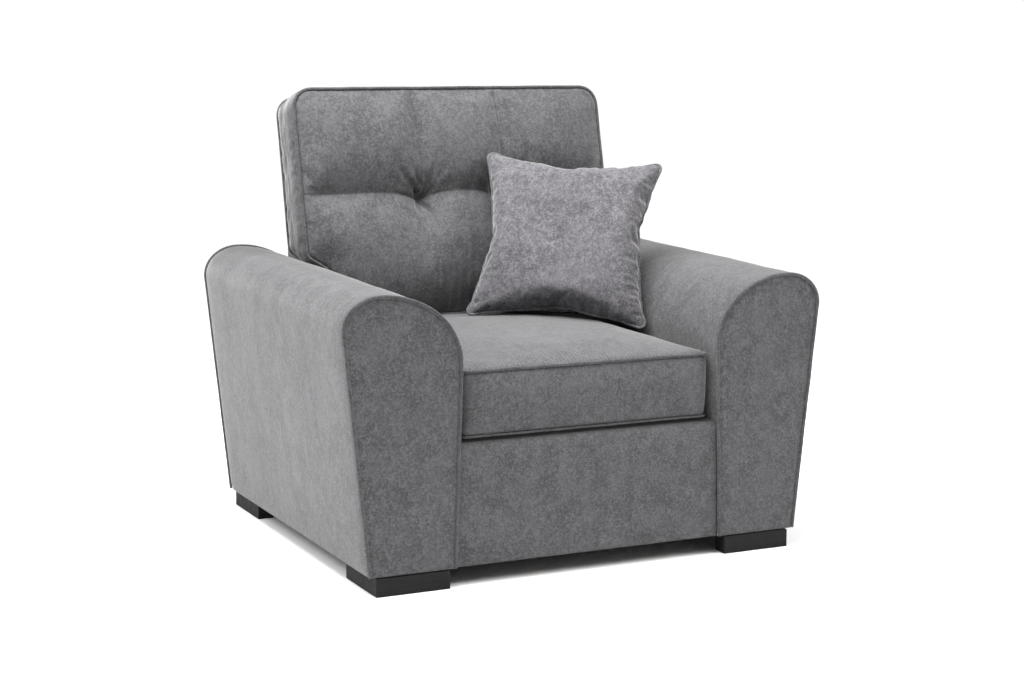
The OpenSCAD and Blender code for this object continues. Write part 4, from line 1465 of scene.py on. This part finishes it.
    def build(self) -> list[bpy.types.Object]:
        """Fills the cushion, tufts it and sews its piping on."""
        obj = self.pad()
        rings = [self.ring(SEWING.cord / 2), self.ring(self.border - SEWING.cord / 2)]
        co = Bench.points(obj)
        level = self.level(co[:, 0])
        face = step(-co[:, 1], -0.03, -0.005)
        tufts = np.hypot(np.abs(co[:, 0]) - self.tuft_x, co[:, 2] - level)
        inset = np.clip((self.half(co[:, 2], co[:, 1], 0) - np.abs(co[:, 0])) / 0.07, 0, 1)
        top = np.clip((self.height - co[:, 2]) / 0.06, 0, 1)
        seam = bell(co[:, 2] - level, 17 * MM) * step(inset, 0, 1)
        dart = bell(np.abs(co[:, 0]) - self.tuft_x, 13 * MM) * (co[:, 2] > level) * top
        pit = np.exp(-((tufts / 0.034) ** 1.3))
        depth = np.maximum(self.valley * seam, self.dart * dart) + (self.tuft_depth - self.valley) * pit
        co[:, 1] += depth * face
        Bench.put(obj, co)
        held = step(np.max([near_path(co, ring, 11 * MM) for ring in rings], 0), 0, 0.35)
        held = np.maximum(held, face * step(-tufts, -0.02, -0.009))
        held = np.maximum(held, face * step(-np.abs(co[:, 2] - level), -0.010, -0.004) * step(inset, 0.1, 0.6) * 0.9)
        held = np.maximum(held, face * step(-np.abs(np.abs(co[:, 0]) - self.tuft_x), -0.009, -0.003) * (co[:, 2] > level) * 0.55)
        zip_half = 0.245
        foot = (co[:, 2] < 0.012) & (np.abs(co[:, 0]) < zip_half) & (np.abs(co[:, 1] - self.border / 2) < 0.018)
        held = np.maximum(held, foot)
        self.stuffing.fill(obj, held)
        co = Bench.points(obj)
        co[:, 1] = np.minimum(co[:, 1], self.border - 1.5 * MM)
        co[:, 2] = np.maximum(co[:, 2], -7 * MM * step(self.border - 0.03 - co[:, 1], 0, 0.03))
        wide = self.half(co[:, 2], co[:, 1], 0, 1.5 * MM) + 0.004
        co[:, 0] = np.clip(co[:, 0], -wide, wide)
        Bench.put(obj, co)
        Bench.modify(obj, "SUBSURF", levels=2, render_levels=2)
        self._finish(obj, rings)
        obj.data.transform(self.place)
        obj.data.update()
        Bench.dress(obj, Body.BACK, Slot.CHENILLE, CHENILLE, "back_cushion_cover", "back_cushion_fill")
        return [obj, self.piping(rings), self.ties()]

    def _finish(self, obj: bpy.types.Object, rings: list[Array]) -> None:
        """Cuts the stitched lines in, folds the cloth round the tufts, crumples the border and paints shade in the
        lines, the tufts and beside the piping.
        """
        co = Bench.points(obj)
        out = Bench.normals(obj)
        level = self.level(co[:, 0])
        face = step(-co[:, 1], -0.07, -0.03)
        ax = np.abs(co[:, 0])
        inset = np.clip((self.half(co[:, 2], co[:, 1], 0) - ax) / 0.05, 0, 1)
        tuft = np.hypot(ax - self.tuft_x, co[:, 2] - level)
        near = np.max([near_path(co, ring, 16 * MM) for ring in rings], 0)
        line = bell(co[:, 2] - level, 3.2 * MM) * face * step(inset, 0.05, 0.3)
        upright = bell(ax - self.tuft_x, 3.0 * MM) * face * (co[:, 2] > level) * step(self.height - co[:, 2], 0.006, 0.02)
        move = -1.8 * MM * line - 1.0 * MM * upright
        for pucker in self.puckers:
            angle = math.radians(pucker.angle)
            dx = np.where(co[:, 0] < 0, co[:, 0] + self.tuft_x, self.tuft_x - co[:, 0])
            dz = co[:, 2] - level
            along = dx * math.cos(angle) + dz * math.sin(angle)
            aside = -dx * math.sin(angle) + dz * math.cos(angle)
            aside = aside + 0.004 * np.sin(along * 60 + pucker.angle)
            width = 3.5 * MM + 0.085 * np.clip(along, 0, None)
            share = step(along, 0.004, 0.016) * np.clip(1 - along / pucker.length, 0, 1) ** 1.2
            crease = bell(aside, width) - 0.45 * bell(np.abs(aside) - 1.9 * width, width)
            move = move - pucker.depth * share * crease * face
        wave = ripple(co, 0.085, 8.8) + 0.45 * ripple(co, 0.03, 3.3)
        border = (1 - face) * step(self.border - co[:, 1], 0.0, 0.02)
        crumple = ripple(co * (1, 1.6, 0.8), 0.024, 5.5)
        move = move + wave * 1.4 * MM * (1 - near) + crumple * 1.5 * MM * border * (1 - near)
        # Painted shade: these numbers darken the stitched lines, the tuft pits and the cloth beside the piping, through
        # the 'seam' attribute.
        seam_shade = np.maximum.reduce([
            bell(co[:, 2] - level, 1.8 * MM) * face * step(inset, 0.0, 0.2) * 0.6,
            bell(ax - self.tuft_x, 1.6 * MM) * face * (co[:, 2] > level) * 0.4,
            step(-tuft, -0.012, -0.002) * face * 0.7,
            step(near, 0.55, 0.85) * 0.8,
        ])
        Bench.attribute(obj, "seam", seam_shade)
        Bench.put(obj, self.askew(co + out * move[:, None]))
        Bench.smooth(obj, 60)

    def askew(self, co: Array) -> Array:
        """Sews the left row of stitching a little nearer the middle than the right one."""
        low = bell(co[:, 2] - (self.height - self.tuft_drop), 0.12)
        face = step(-co[:, 1], -self.border * 0.8, -self.border * 0.3)
        out = co.copy()
        out[:, 0] += 10 * MM * (1 + 0.7 * low) * bell(co[:, 0] + self.tuft_x, 0.075) * face
        return out

    def piping(self, rings: list[Array]) -> bpy.types.Object:
        """Sews a cord round the front and the rear edge."""
        cords = []
        for ring in rings:
            wave = np.stack([ripple(ring, 0.06, 2.7 + k) for k in range(3)], 1)
            path = self.to_chair(ring + wave * 0.7 * MM)
            cords.append(Bench.pipe("cord", path, SEWING.cord / 2, closed=True))
        Bench.clear()
        for cord in cords:
            cord.select_set(True)
        bpy.context.view_layer.objects.active = cords[0]
        bpy.ops.object.join()
        cord = Bench.name(bpy.context.object, "back_cord")
        return Bench.dress(cord, Body.BACK, Slot.PIPING, PIPING, "back_cushion_piping")

    def ties(self) -> bpy.types.Object:
        """Draws a doubled twine from each tuft to the rear of the cover."""
        level = float(self.level(np.array([self.tuft_x]))[0])
        twines = []
        for x in (-self.tuft_x, self.tuft_x):
            for phase in (0.0, math.pi):
                y = np.linspace(self.tuft_depth - 10 * MM, self.border - 7 * MM, 60)
                turn = (y - y[0]) * 2 * math.pi / 0.012 + phase
                path = np.stack([x + 1.0 * MM * np.cos(turn), y, level + 1.0 * MM * np.sin(turn)], 1)
                twines.append(Bench.pipe("twine", self.to_chair(self.askew(path)), 1.0 * MM, sides=2))
        Bench.clear()
        for twine in twines:
            twine.select_set(True)
        bpy.context.view_layer.objects.active = twines[0]
        bpy.ops.object.join()
        obj = Bench.name(bpy.context.object, "back_twine")
        return Bench.dress(obj, Body.BACK, Slot.LINING, FINISHES[Slot.LINING], "back_tuft_ties")


@dataclass(frozen=True)
class ScatterCushion:
    """The loose square cushion: two sheets sewn at their edges round a cord, and filled.

    Attributes:
        size: The distance between its corners.
        thick: Its thickness at the middle.
        cut: The size of the sheets before they are filled.
        turn: How far it is turned towards the left, in degrees.
        lean: How far it leans back.
        roll: How far its top leans to the side.
        squares: How many squares each sheet has along a side.
        corner: The radius that its corners are cut to.
        stuffing: How it is filled.
    """

    size: float = 400 * MM
    thick: float = 130 * MM
    cut: float = 436 * MM
    turn: float = 32.0
    lean: float = 29.0
    roll: float = 3.5
    squares: int = 92
    corner: float = 16 * MM
    stuffing: Stuffing = field(default_factory=lambda: Stuffing(pressure=5.0, cap=0.09, bending=0.1, slack=0.0, frames=24))

    @property
    def place(self) -> Matrix:
        """Where the cushion's own frame stands in the chair."""
        low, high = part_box("scatter_piping")
        turns = (
            Matrix.Rotation(math.radians(-self.turn), 4, "Z")
            @ Matrix.Rotation(math.radians(-self.lean), 4, "X")
            @ Matrix.Rotation(math.radians(self.roll), 4, "Y")
        )
        return Matrix.Translation((low + high) / 2) @ turns

    def sheets(self) -> bpy.types.Object:
        """Lays two square sheets face to face and closes their edges."""
        def shape(u: Array, v: Array) -> tuple[Array, Array, Array]:
            x, z = (u - 0.5) * self.cut, (v - 0.5) * self.cut
            half = self.cut / 2 - self.corner
            ox, oz = np.abs(x) - half, np.abs(z) - half
            cornered = (ox > 0) & (oz > 0)
            radius = np.maximum(ox, oz)
            length = np.maximum(np.hypot(ox, oz), 1e-9)
            x = np.where(cornered, np.sign(x) * (half + ox * radius / length), x)
            z = np.where(cornered, np.sign(z) * (half + oz * radius / length), z)
            return x, np.full_like(u, -1.5 * MM), z

        obj = Bench.drape("scatter_pad", self.squares, self.squares, shape)
        Bench.face(obj, lambda p: np.tile([0.0, -1.0, 0.0], (len(p), 1)))
        Bench.take(obj)
        bpy.ops.object.mode_set(mode="EDIT")
        bpy.ops.mesh.select_all(action="SELECT")
        bpy.ops.mesh.extrude_region_move(TRANSFORM_OT_translate={"value": (0, 3 * MM, 0)})
        bpy.ops.mesh.select_all(action="SELECT")
        bpy.ops.mesh.normals_make_consistent(inside=False)
        bpy.ops.object.mode_set(mode="OBJECT")
        return obj

    def build(self) -> list[bpy.types.Object]:
        """Fills the cushion, sets it to size, and sews its cord on."""
        obj = self.sheets()
        co = Bench.points(obj)
        half = self.cut / 2
        flat = np.maximum(np.abs(co[:, 0]), np.abs(co[:, 2]))
        box_half = half - self.corner
        ox, oz = np.abs(co[:, 0]) - box_half, np.abs(co[:, 2]) - box_half
        rim = np.where((ox > 0) & (oz > 0), np.hypot(ox, oz) > self.corner - 0.4 * MM, flat > half - 0.4 * MM)
        seam = np.flatnonzero(rim)
        angle = np.arctan2(co[seam, 2], co[seam, 0])
        front = seam[(co[seam, 1] < 0)]
        rear = seam[(co[seam, 1] > 0)]
        front = front[np.argsort(np.arctan2(co[front, 2], co[front, 0]))]
        rear = rear[np.argsort(np.arctan2(co[rear, 2], co[rear, 0]))]
        co[:, 1] += np.where(co[:, 1] > 0, 1, -1) * 4 * MM * np.clip(1 - flat / half, 0, 1) ** 0.5
        co[:, 1] += 0.8 * MM * ripple(co, 0.03, 6.6) * (~rim)
        Bench.put(obj, co)
        self.stuffing.fill(obj, np.zeros(len(co)))
        co = Bench.points(obj)
        co -= co[seam].mean(0)
        corner = np.sort(np.hypot(co[seam, 0], co[seam, 2]))[-24:].mean()
        co[:, (0, 2)] *= (self.size / 2 * math.sqrt(2) - 4 * MM) / corner
        co[:, 1] *= self.thick / (co[:, 1].max() - co[:, 1].min())
        co = self._pinched(co)
        Bench.put(obj, co)
        path = (co[front] + co[rear]) / 2
        # Painted shade: the 'seam' attribute darkens the cloth along the stitched edge at the cord.
        seam_shade = np.zeros(len(co))
        seam_shade[seam] = 1.0
        Bench.attribute(obj, "seam", seam_shade)
        Bench.modify(obj, "SUBSURF", levels=1, render_levels=1)
        self._gather(obj)
        Bench.smooth(obj, 80)
        obj.data.transform(self.place)
        obj.data.update()
        Bench.dress(obj, Body.SCATTER, Slot.CRUSHED_VELVET, VELVET, "scatter_cover", "scatter_fill")
        way = path - path.mean(0)
        way /= np.linalg.norm(way, axis=1)[:, None]
        path = relax(even(path + way * 0.4 * MM, 620, closed=True), 3, closed=True)
        m = np.array(self.place)
        cord = Bench.pipe("scatter_cord", path @ m[:3, :3].T + m[:3, 3], SEWING.cord / 2, closed=True)
        Bench.dress(cord, Body.SCATTER, Slot.CRUSHED_VELVET, VELVET_PIPING, "scatter_piping")
        return [obj, cord]

    def _pinched(self, co: Array) -> Array:
        """Draws the middles of the edges further in, and leaves the corners standing out."""
        half = self.size / 2
        x, z = co[:, 0] / half, co[:, 2] / half
        out = co.copy()
        out[:, 0] *= 1 - 0.06 * np.clip(1 - z * z, 0, 1) * np.abs(x) ** 3
        out[:, 2] *= 1 - 0.035 * np.clip(1 - x * x, 0, 1) * np.abs(z) ** 3
        return out

    def _gather(self, obj: bpy.types.Object) -> None:
        """Puckers the cloth in from its stitched edges and lets it crumple slightly."""
        co = Bench.points(obj)
        half = self.size / 2
        ax, az = np.abs(co[:, 0]), np.abs(co[:, 2])
        inset = half - np.maximum(ax, az)
        along = np.where(ax > az, co[:, 2], co[:, 0])
        turn = np.where(ax > az, 0.3, 0.7) + np.sign(co[:, 1]) * 0.11
        flat = np.stack([along, inset * 0.22, turn], 1)
        folds = ripple(flat, 0.011, 2.3) + 0.6 * ripple(flat, 0.024, 7.9)
        amount = step(inset, 0.0, 0.02) * step(-inset, -0.085, -0.02)
        crumple = ripple(co, 0.05, 4.2) + 0.4 * ripple(co, 0.022, 9.5)
        move = 2.2 * MM * folds * amount + 1.3 * MM * crumple * step(inset, 0.01, 0.05)
        Bench.put(obj, co + Bench.normals(obj) * move[:, None])


# ---------------------------------------------------------------- zips


@dataclass(frozen=True)
class Zip:
    """A coiled zip: its two tapes and the row of teeth between them.

    Attributes:
        node: The frame node that it stands for.
        body: The cushion that it is sewn into.
        place: The frame that the cushion was made in.
        out: The way out through the zip in that frame, as an axis number and a sign.
        pitch: The distance between two teeth.
        bead: The width of the row of teeth.
    """

    node: str
    body: Body
    place: Matrix
    out: tuple[int, int]
    pitch: float = 3 * MM
    bead: float = 5 * MM

    def build(self) -> list[bpy.types.Object]:
        """Lays the tapes and sets the teeth along their middle."""
        source = Bench.copy(self.node, "zip_measure")
        source.data.transform(self.place.inverted())
        co = Bench.points(source)
        low, high = co.min(0), co.max(0)
        bpy.data.objects.remove(source)
        axis, sign = self.out
        wide = 3 - axis
        face = (high if sign > 0 else low)[axis] - sign * 1 * MM
        middle = (low[wide] + high[wide]) / 2

        def shape(u: Array, v: Array) -> tuple[Array, Array, Array]:
            places: list[Array] = [low[0] + (high[0] - low[0]) * u] * 3
            places[wide] = low[wide] + (high[wide] - low[wide]) * v
            places[axis] = face - sign * 0.5 * MM * bell(v - 0.5, 0.06) * np.ones_like(u)
            return places[0], places[1], places[2]

        tape = Bench.drape(f"{self.node}_tape", 160, 12, shape)
        toward = np.zeros(3)
        toward[axis] = sign
        Bench.face(tape, lambda p: np.tile(toward, (len(p), 1)))
        Bench.thicken(tape, 1.2 * MM)
        Bench.smooth(tape)
        count = int((high[0] - low[0] - 6 * MM) / self.pitch)
        bpy.ops.mesh.primitive_cube_add(size=1)
        teeth = Bench.name(bpy.context.object, f"{self.node}_teeth")
        size = [self.pitch * 0.62] * 3
        size[wide], size[axis] = self.bead * 0.62, 1.3 * MM
        corners = Bench.points(teeth) * size
        Bench.put(teeth, corners)
        Bench.modify(teeth, "BEVEL", width=0.3 * MM, segments=1)
        shift = [0.0, 0.0, 0.0]
        shift[0], shift[wide] = self.pitch / 2, self.bead * 0.36
        Bench.modify(teeth, "ARRAY", count=2, use_relative_offset=False, use_constant_offset=True, constant_offset_displace=shift)
        Bench.modify(teeth, "ARRAY", count=count, use_relative_offset=False, use_constant_offset=True, constant_offset_displace=(self.pitch, 0, 0))
        start = [low[0] + 4 * MM] * 3
        start[wide], start[axis] = middle - self.bead * 0.18, face + sign * 0.3 * MM
        Bench.put(teeth, Bench.points(teeth) + start)
        for piece in (tape, teeth):
            piece.data.transform(self.place)
            piece.data.update()
        Bench.dress(tape, self.body, Slot.LINING, FINISHES[Slot.LINING], self.node)
        Bench.dress(teeth, self.body, Slot.ZIP_METAL, FINISHES[Slot.ZIP_METAL])
        return [tape, teeth]


# ---------------------------------------------------------------- cloths under the seat


@dataclass(frozen=True)
class Sheets:
    """The deck cloth over the springs and the dust cover below the chair."""

    sag: float = 2.5 * MM

    def build(self) -> list[bpy.types.Object]:
        """Stretches both cloths."""
        return [self._stretch("deck_cloth", "deck_sheet", 1.0), self._stretch("dust_cover", "dust_sheet", -0.4)]

    def _stretch(self, node: str, name: str, way: float) -> bpy.types.Object:
        """Stretches one cloth across a node's place.

        Args:
            node: The frame node that it stands for.
            name: The sheet's name.
            way: 1 for a cloth that shows from above, below 0 for one seen from below.

        Returns:
            The sheet.
        """
        low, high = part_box(node)
        face = high.z if way > 0 else low.z

        def shape(u: Array, v: Array) -> tuple[Array, Array, Array]:
            x = low.x + (high.x - low.x) * u
            y = low.y + (high.y - low.y) * v
            bow = np.sin(np.pi * u) ** 0.5 * np.sin(np.pi * v) ** 0.5
            return x, y, face - self.sag * bow * way

        obj = Bench.drape(name, 60, 60, shape)
        co = Bench.points(obj)
        co[:, 2] += 0.5 * MM * ripple(co, 0.09, 3.0) * (1 if way > 0 else 0.6)
        if way < 0:
            co[:, 2] = np.maximum(co[:, 2], low.z)
        Bench.put(obj, co)
        Bench.face(obj, lambda p: np.tile([0.0, 0.0, 1.0 if way > 0 else -1.0], (len(p), 1)))
        Bench.thicken(obj, 1.2 * MM)
        Bench.smooth(obj)
        slot = Slot.LINING
        Bench.dress(obj, Body.ROOT, slot, FINISHES[slot], node)
        return obj


# ---------------------------------------------------------------- what the frame brings


@dataclass(frozen=True)
class Carried:
    """The nodes that keep their own shape and only need a finish.

    Attributes:
        eased: Nodes whose edges are eased, and how far.
    """

    eased: dict[str, float] = field(default_factory=lambda: {
        "foot_front_left": 1.6 * MM, "foot_front_right": 1.6 * MM, "foot_rear_left": 1.6 * MM, "foot_rear_right": 1.6 * MM,
        "seat_zip_slider": 0.5 * MM, "back_zip_slider": 0.5 * MM, "scatter_zip_slider": 0.5 * MM,
    })

    def build(self) -> None:
        """Gives every carried node its finish, and eases the edges that are handled."""
        slots = {part["node"]: Slot(part["material_slot"]) for part in frame["record"]["subparts"]}
        for name, node in frame["nodes"].items():
            finish = FINISHES[slots[name]]
            node.data.materials.clear()
            node.data.materials.append(finish.material())
            if name in self.eased:
                weld = node.modifiers.new("Weld", "WELD")
                weld.merge_threshold = 0.00002
                bevel = node.modifiers.new("Bevel", "BEVEL")
                bevel.width = self.eased[name]
                bevel.segments = 3
                bevel.limit_method = "ANGLE"
                bevel.angle_limit = math.radians(40)
                bevel.harden_normals = False
        log.info("carried nodes: %d", len(frame["nodes"]))


# ---------------------------------------------------------------- studio


@dataclass(frozen=True)
class Studio:
    """A plain pale floor, soft light from the upper left, and the camera.

    Attributes:
        lens: The camera's focal length in millimetres.
        eye: Where the camera stands.
        yaw: How far it is turned to the right, in degrees.
        pitch: How far it looks down.
        roll: How far it is tilted.
        horizon: How bright the room is behind the chair.
        walls: How bright its walls are.
        ceiling: How bright its ceiling is.
    """

    lens: float = 70.07
    eye: tuple[float, float, float] = (-1.9130, -3.9800, 1.0977)
    yaw: float = 25.994
    pitch: float = 8.704
    roll: float = 0.254
    horizon: float = 1.05
    walls: float = 0.19
    ceiling: float = 1.72

    def camera(self) -> None:
        """Stands the camera to the left of the front, a little above the arms."""
        yaw, pitch, roll = (math.radians(a) for a in (self.yaw, self.pitch, self.roll))
        ahead = Vector((math.sin(yaw) * math.cos(pitch), math.cos(yaw) * math.cos(pitch), -math.sin(pitch)))
        right = Vector((math.cos(yaw), -math.sin(yaw), 0))
        up = right.cross(ahead)
        side = right * math.cos(roll) + up * math.sin(roll)
        top = up * math.cos(roll) - right * math.sin(roll)
        data = bpy.data.cameras.new("Camera")
        data.lens = self.lens
        data.sensor_width = 36
        data.clip_end = 200
        camera = bpy.data.objects.new("Camera", data)
        turn = Matrix((side, top, -ahead)).transposed().to_4x4()
        camera.matrix_world = Matrix.Translation(self.eye) @ turn
        bpy.context.scene.collection.objects.link(camera)
        bpy.context.scene.camera = camera

    def floor(self) -> None:
        """Lays a wide, pale, slightly uneven floor."""
        Bench.clear()
        bpy.ops.mesh.primitive_circle_add(vertices=96, radius=60, fill_type="NGON", location=(0, 0, 0))
        obj = Bench.name(bpy.context.object, "floor")
        graph = Graph("Pale floor")
        cloud = graph.noise(graph.place(), 0.6, 3.0, 0.5)
        graph.set(base_color=graph.blend(graph.curve(cloud, 0.3, 0.7), (0.955, 0.955, 0.955), (0.965, 0.965, 0.965)), roughness=0.9, specular_ior_level=0.0)
        obj.data.materials.append(graph.material)

    def light(self, name: str, at: Sequence[float], size: float, power: float, aim: Sequence[float] = (0, 0, 0.45)) -> None:
        """Hangs one soft square light.

        Args:
            name: The light's name.
            at: Where it hangs.
            size: The length of its sides.
            power: Its power in watts.
            aim: The place that it faces.
        """
        data = bpy.data.lights.new(name, "AREA")
        data.shape = "SQUARE"
        data.size = size
        data.energy = power
        lamp = bpy.data.objects.new(name, data)
        lamp.location = at
        lamp.rotation_euler = (Vector(aim) - Vector(at)).to_track_quat("-Z", "Y").to_euler()
        bpy.context.scene.collection.objects.link(lamp)

    def build(self) -> None:
        """Sets up the whole studio."""
        world = bpy.data.worlds.new("Soft white room")
        world.use_nodes = True
        tree = world.node_tree
        back = tree.nodes["Background"]
        split = tree.nodes.new("ShaderNodeSeparateXYZ")
        tree.links.new(tree.nodes.new("ShaderNodeTexCoord").outputs["Generated"], split.inputs[0])
        ramp = tree.nodes.new("ShaderNodeValToRGB")
        tree.links.new(split.outputs[2], ramp.inputs[0])
        tree.links.new(ramp.outputs[0], back.inputs["Color"])
        bands = ramp.color_ramp.elements
        bands[0].position, bands[1].position = 0.06, 0.74
        for at in (0.11, 0.58):
            bands.new(at)
        for band, bright in zip(bands, (self.horizon, self.walls, self.walls, self.ceiling)):
            band.color = (bright / self.ceiling,) * 3 + (1,)
        back.inputs["Strength"].default_value = self.ceiling
        bpy.context.scene.world = world
        bpy.context.scene.view_settings.view_transform = "Standard"
        self.floor()
        self.camera()
        self.light("key", (-3.4, 0.0, 2.6), 1.8, 80)
        self.light("top", (-0.55, -0.4, 2.65), 1.5, 112)
        self.light("fill", (1.7, -1.5, 1.9), 0.9, 26, (0.5, -0.4, 0.4))


def main() -> None:
    """Builds the studio and every piece of the chair."""
    Studio().build()
    Carried().build()
    pieces: list[bpy.types.Object] = []
    back, scatter = BackCushion(), ScatterCushion()
    zips = (
        Zip("seat_zip", Body.SEAT, Matrix.Identity(4), (1, 1)),
        Zip("back_zip", Body.BACK, back.place, (2, -1)),
        Zip("scatter_zip", Body.SCATTER, scatter.place, (1, 1)),
    )
    for part in (Arm(Side.LEFT), Arm(Side.RIGHT), FrameBack(), SeatCushion(), back, scatter, *zips, Sheets()):
        made = part.build()
        pieces += made
        log.info("%s: %s", type(part).__name__, ", ".join(piece.name for piece in made))
    pieces.append(FrontRail().build())
    log.info("%d new pieces", len(pieces))


if __name__ == "__main__":
    main()
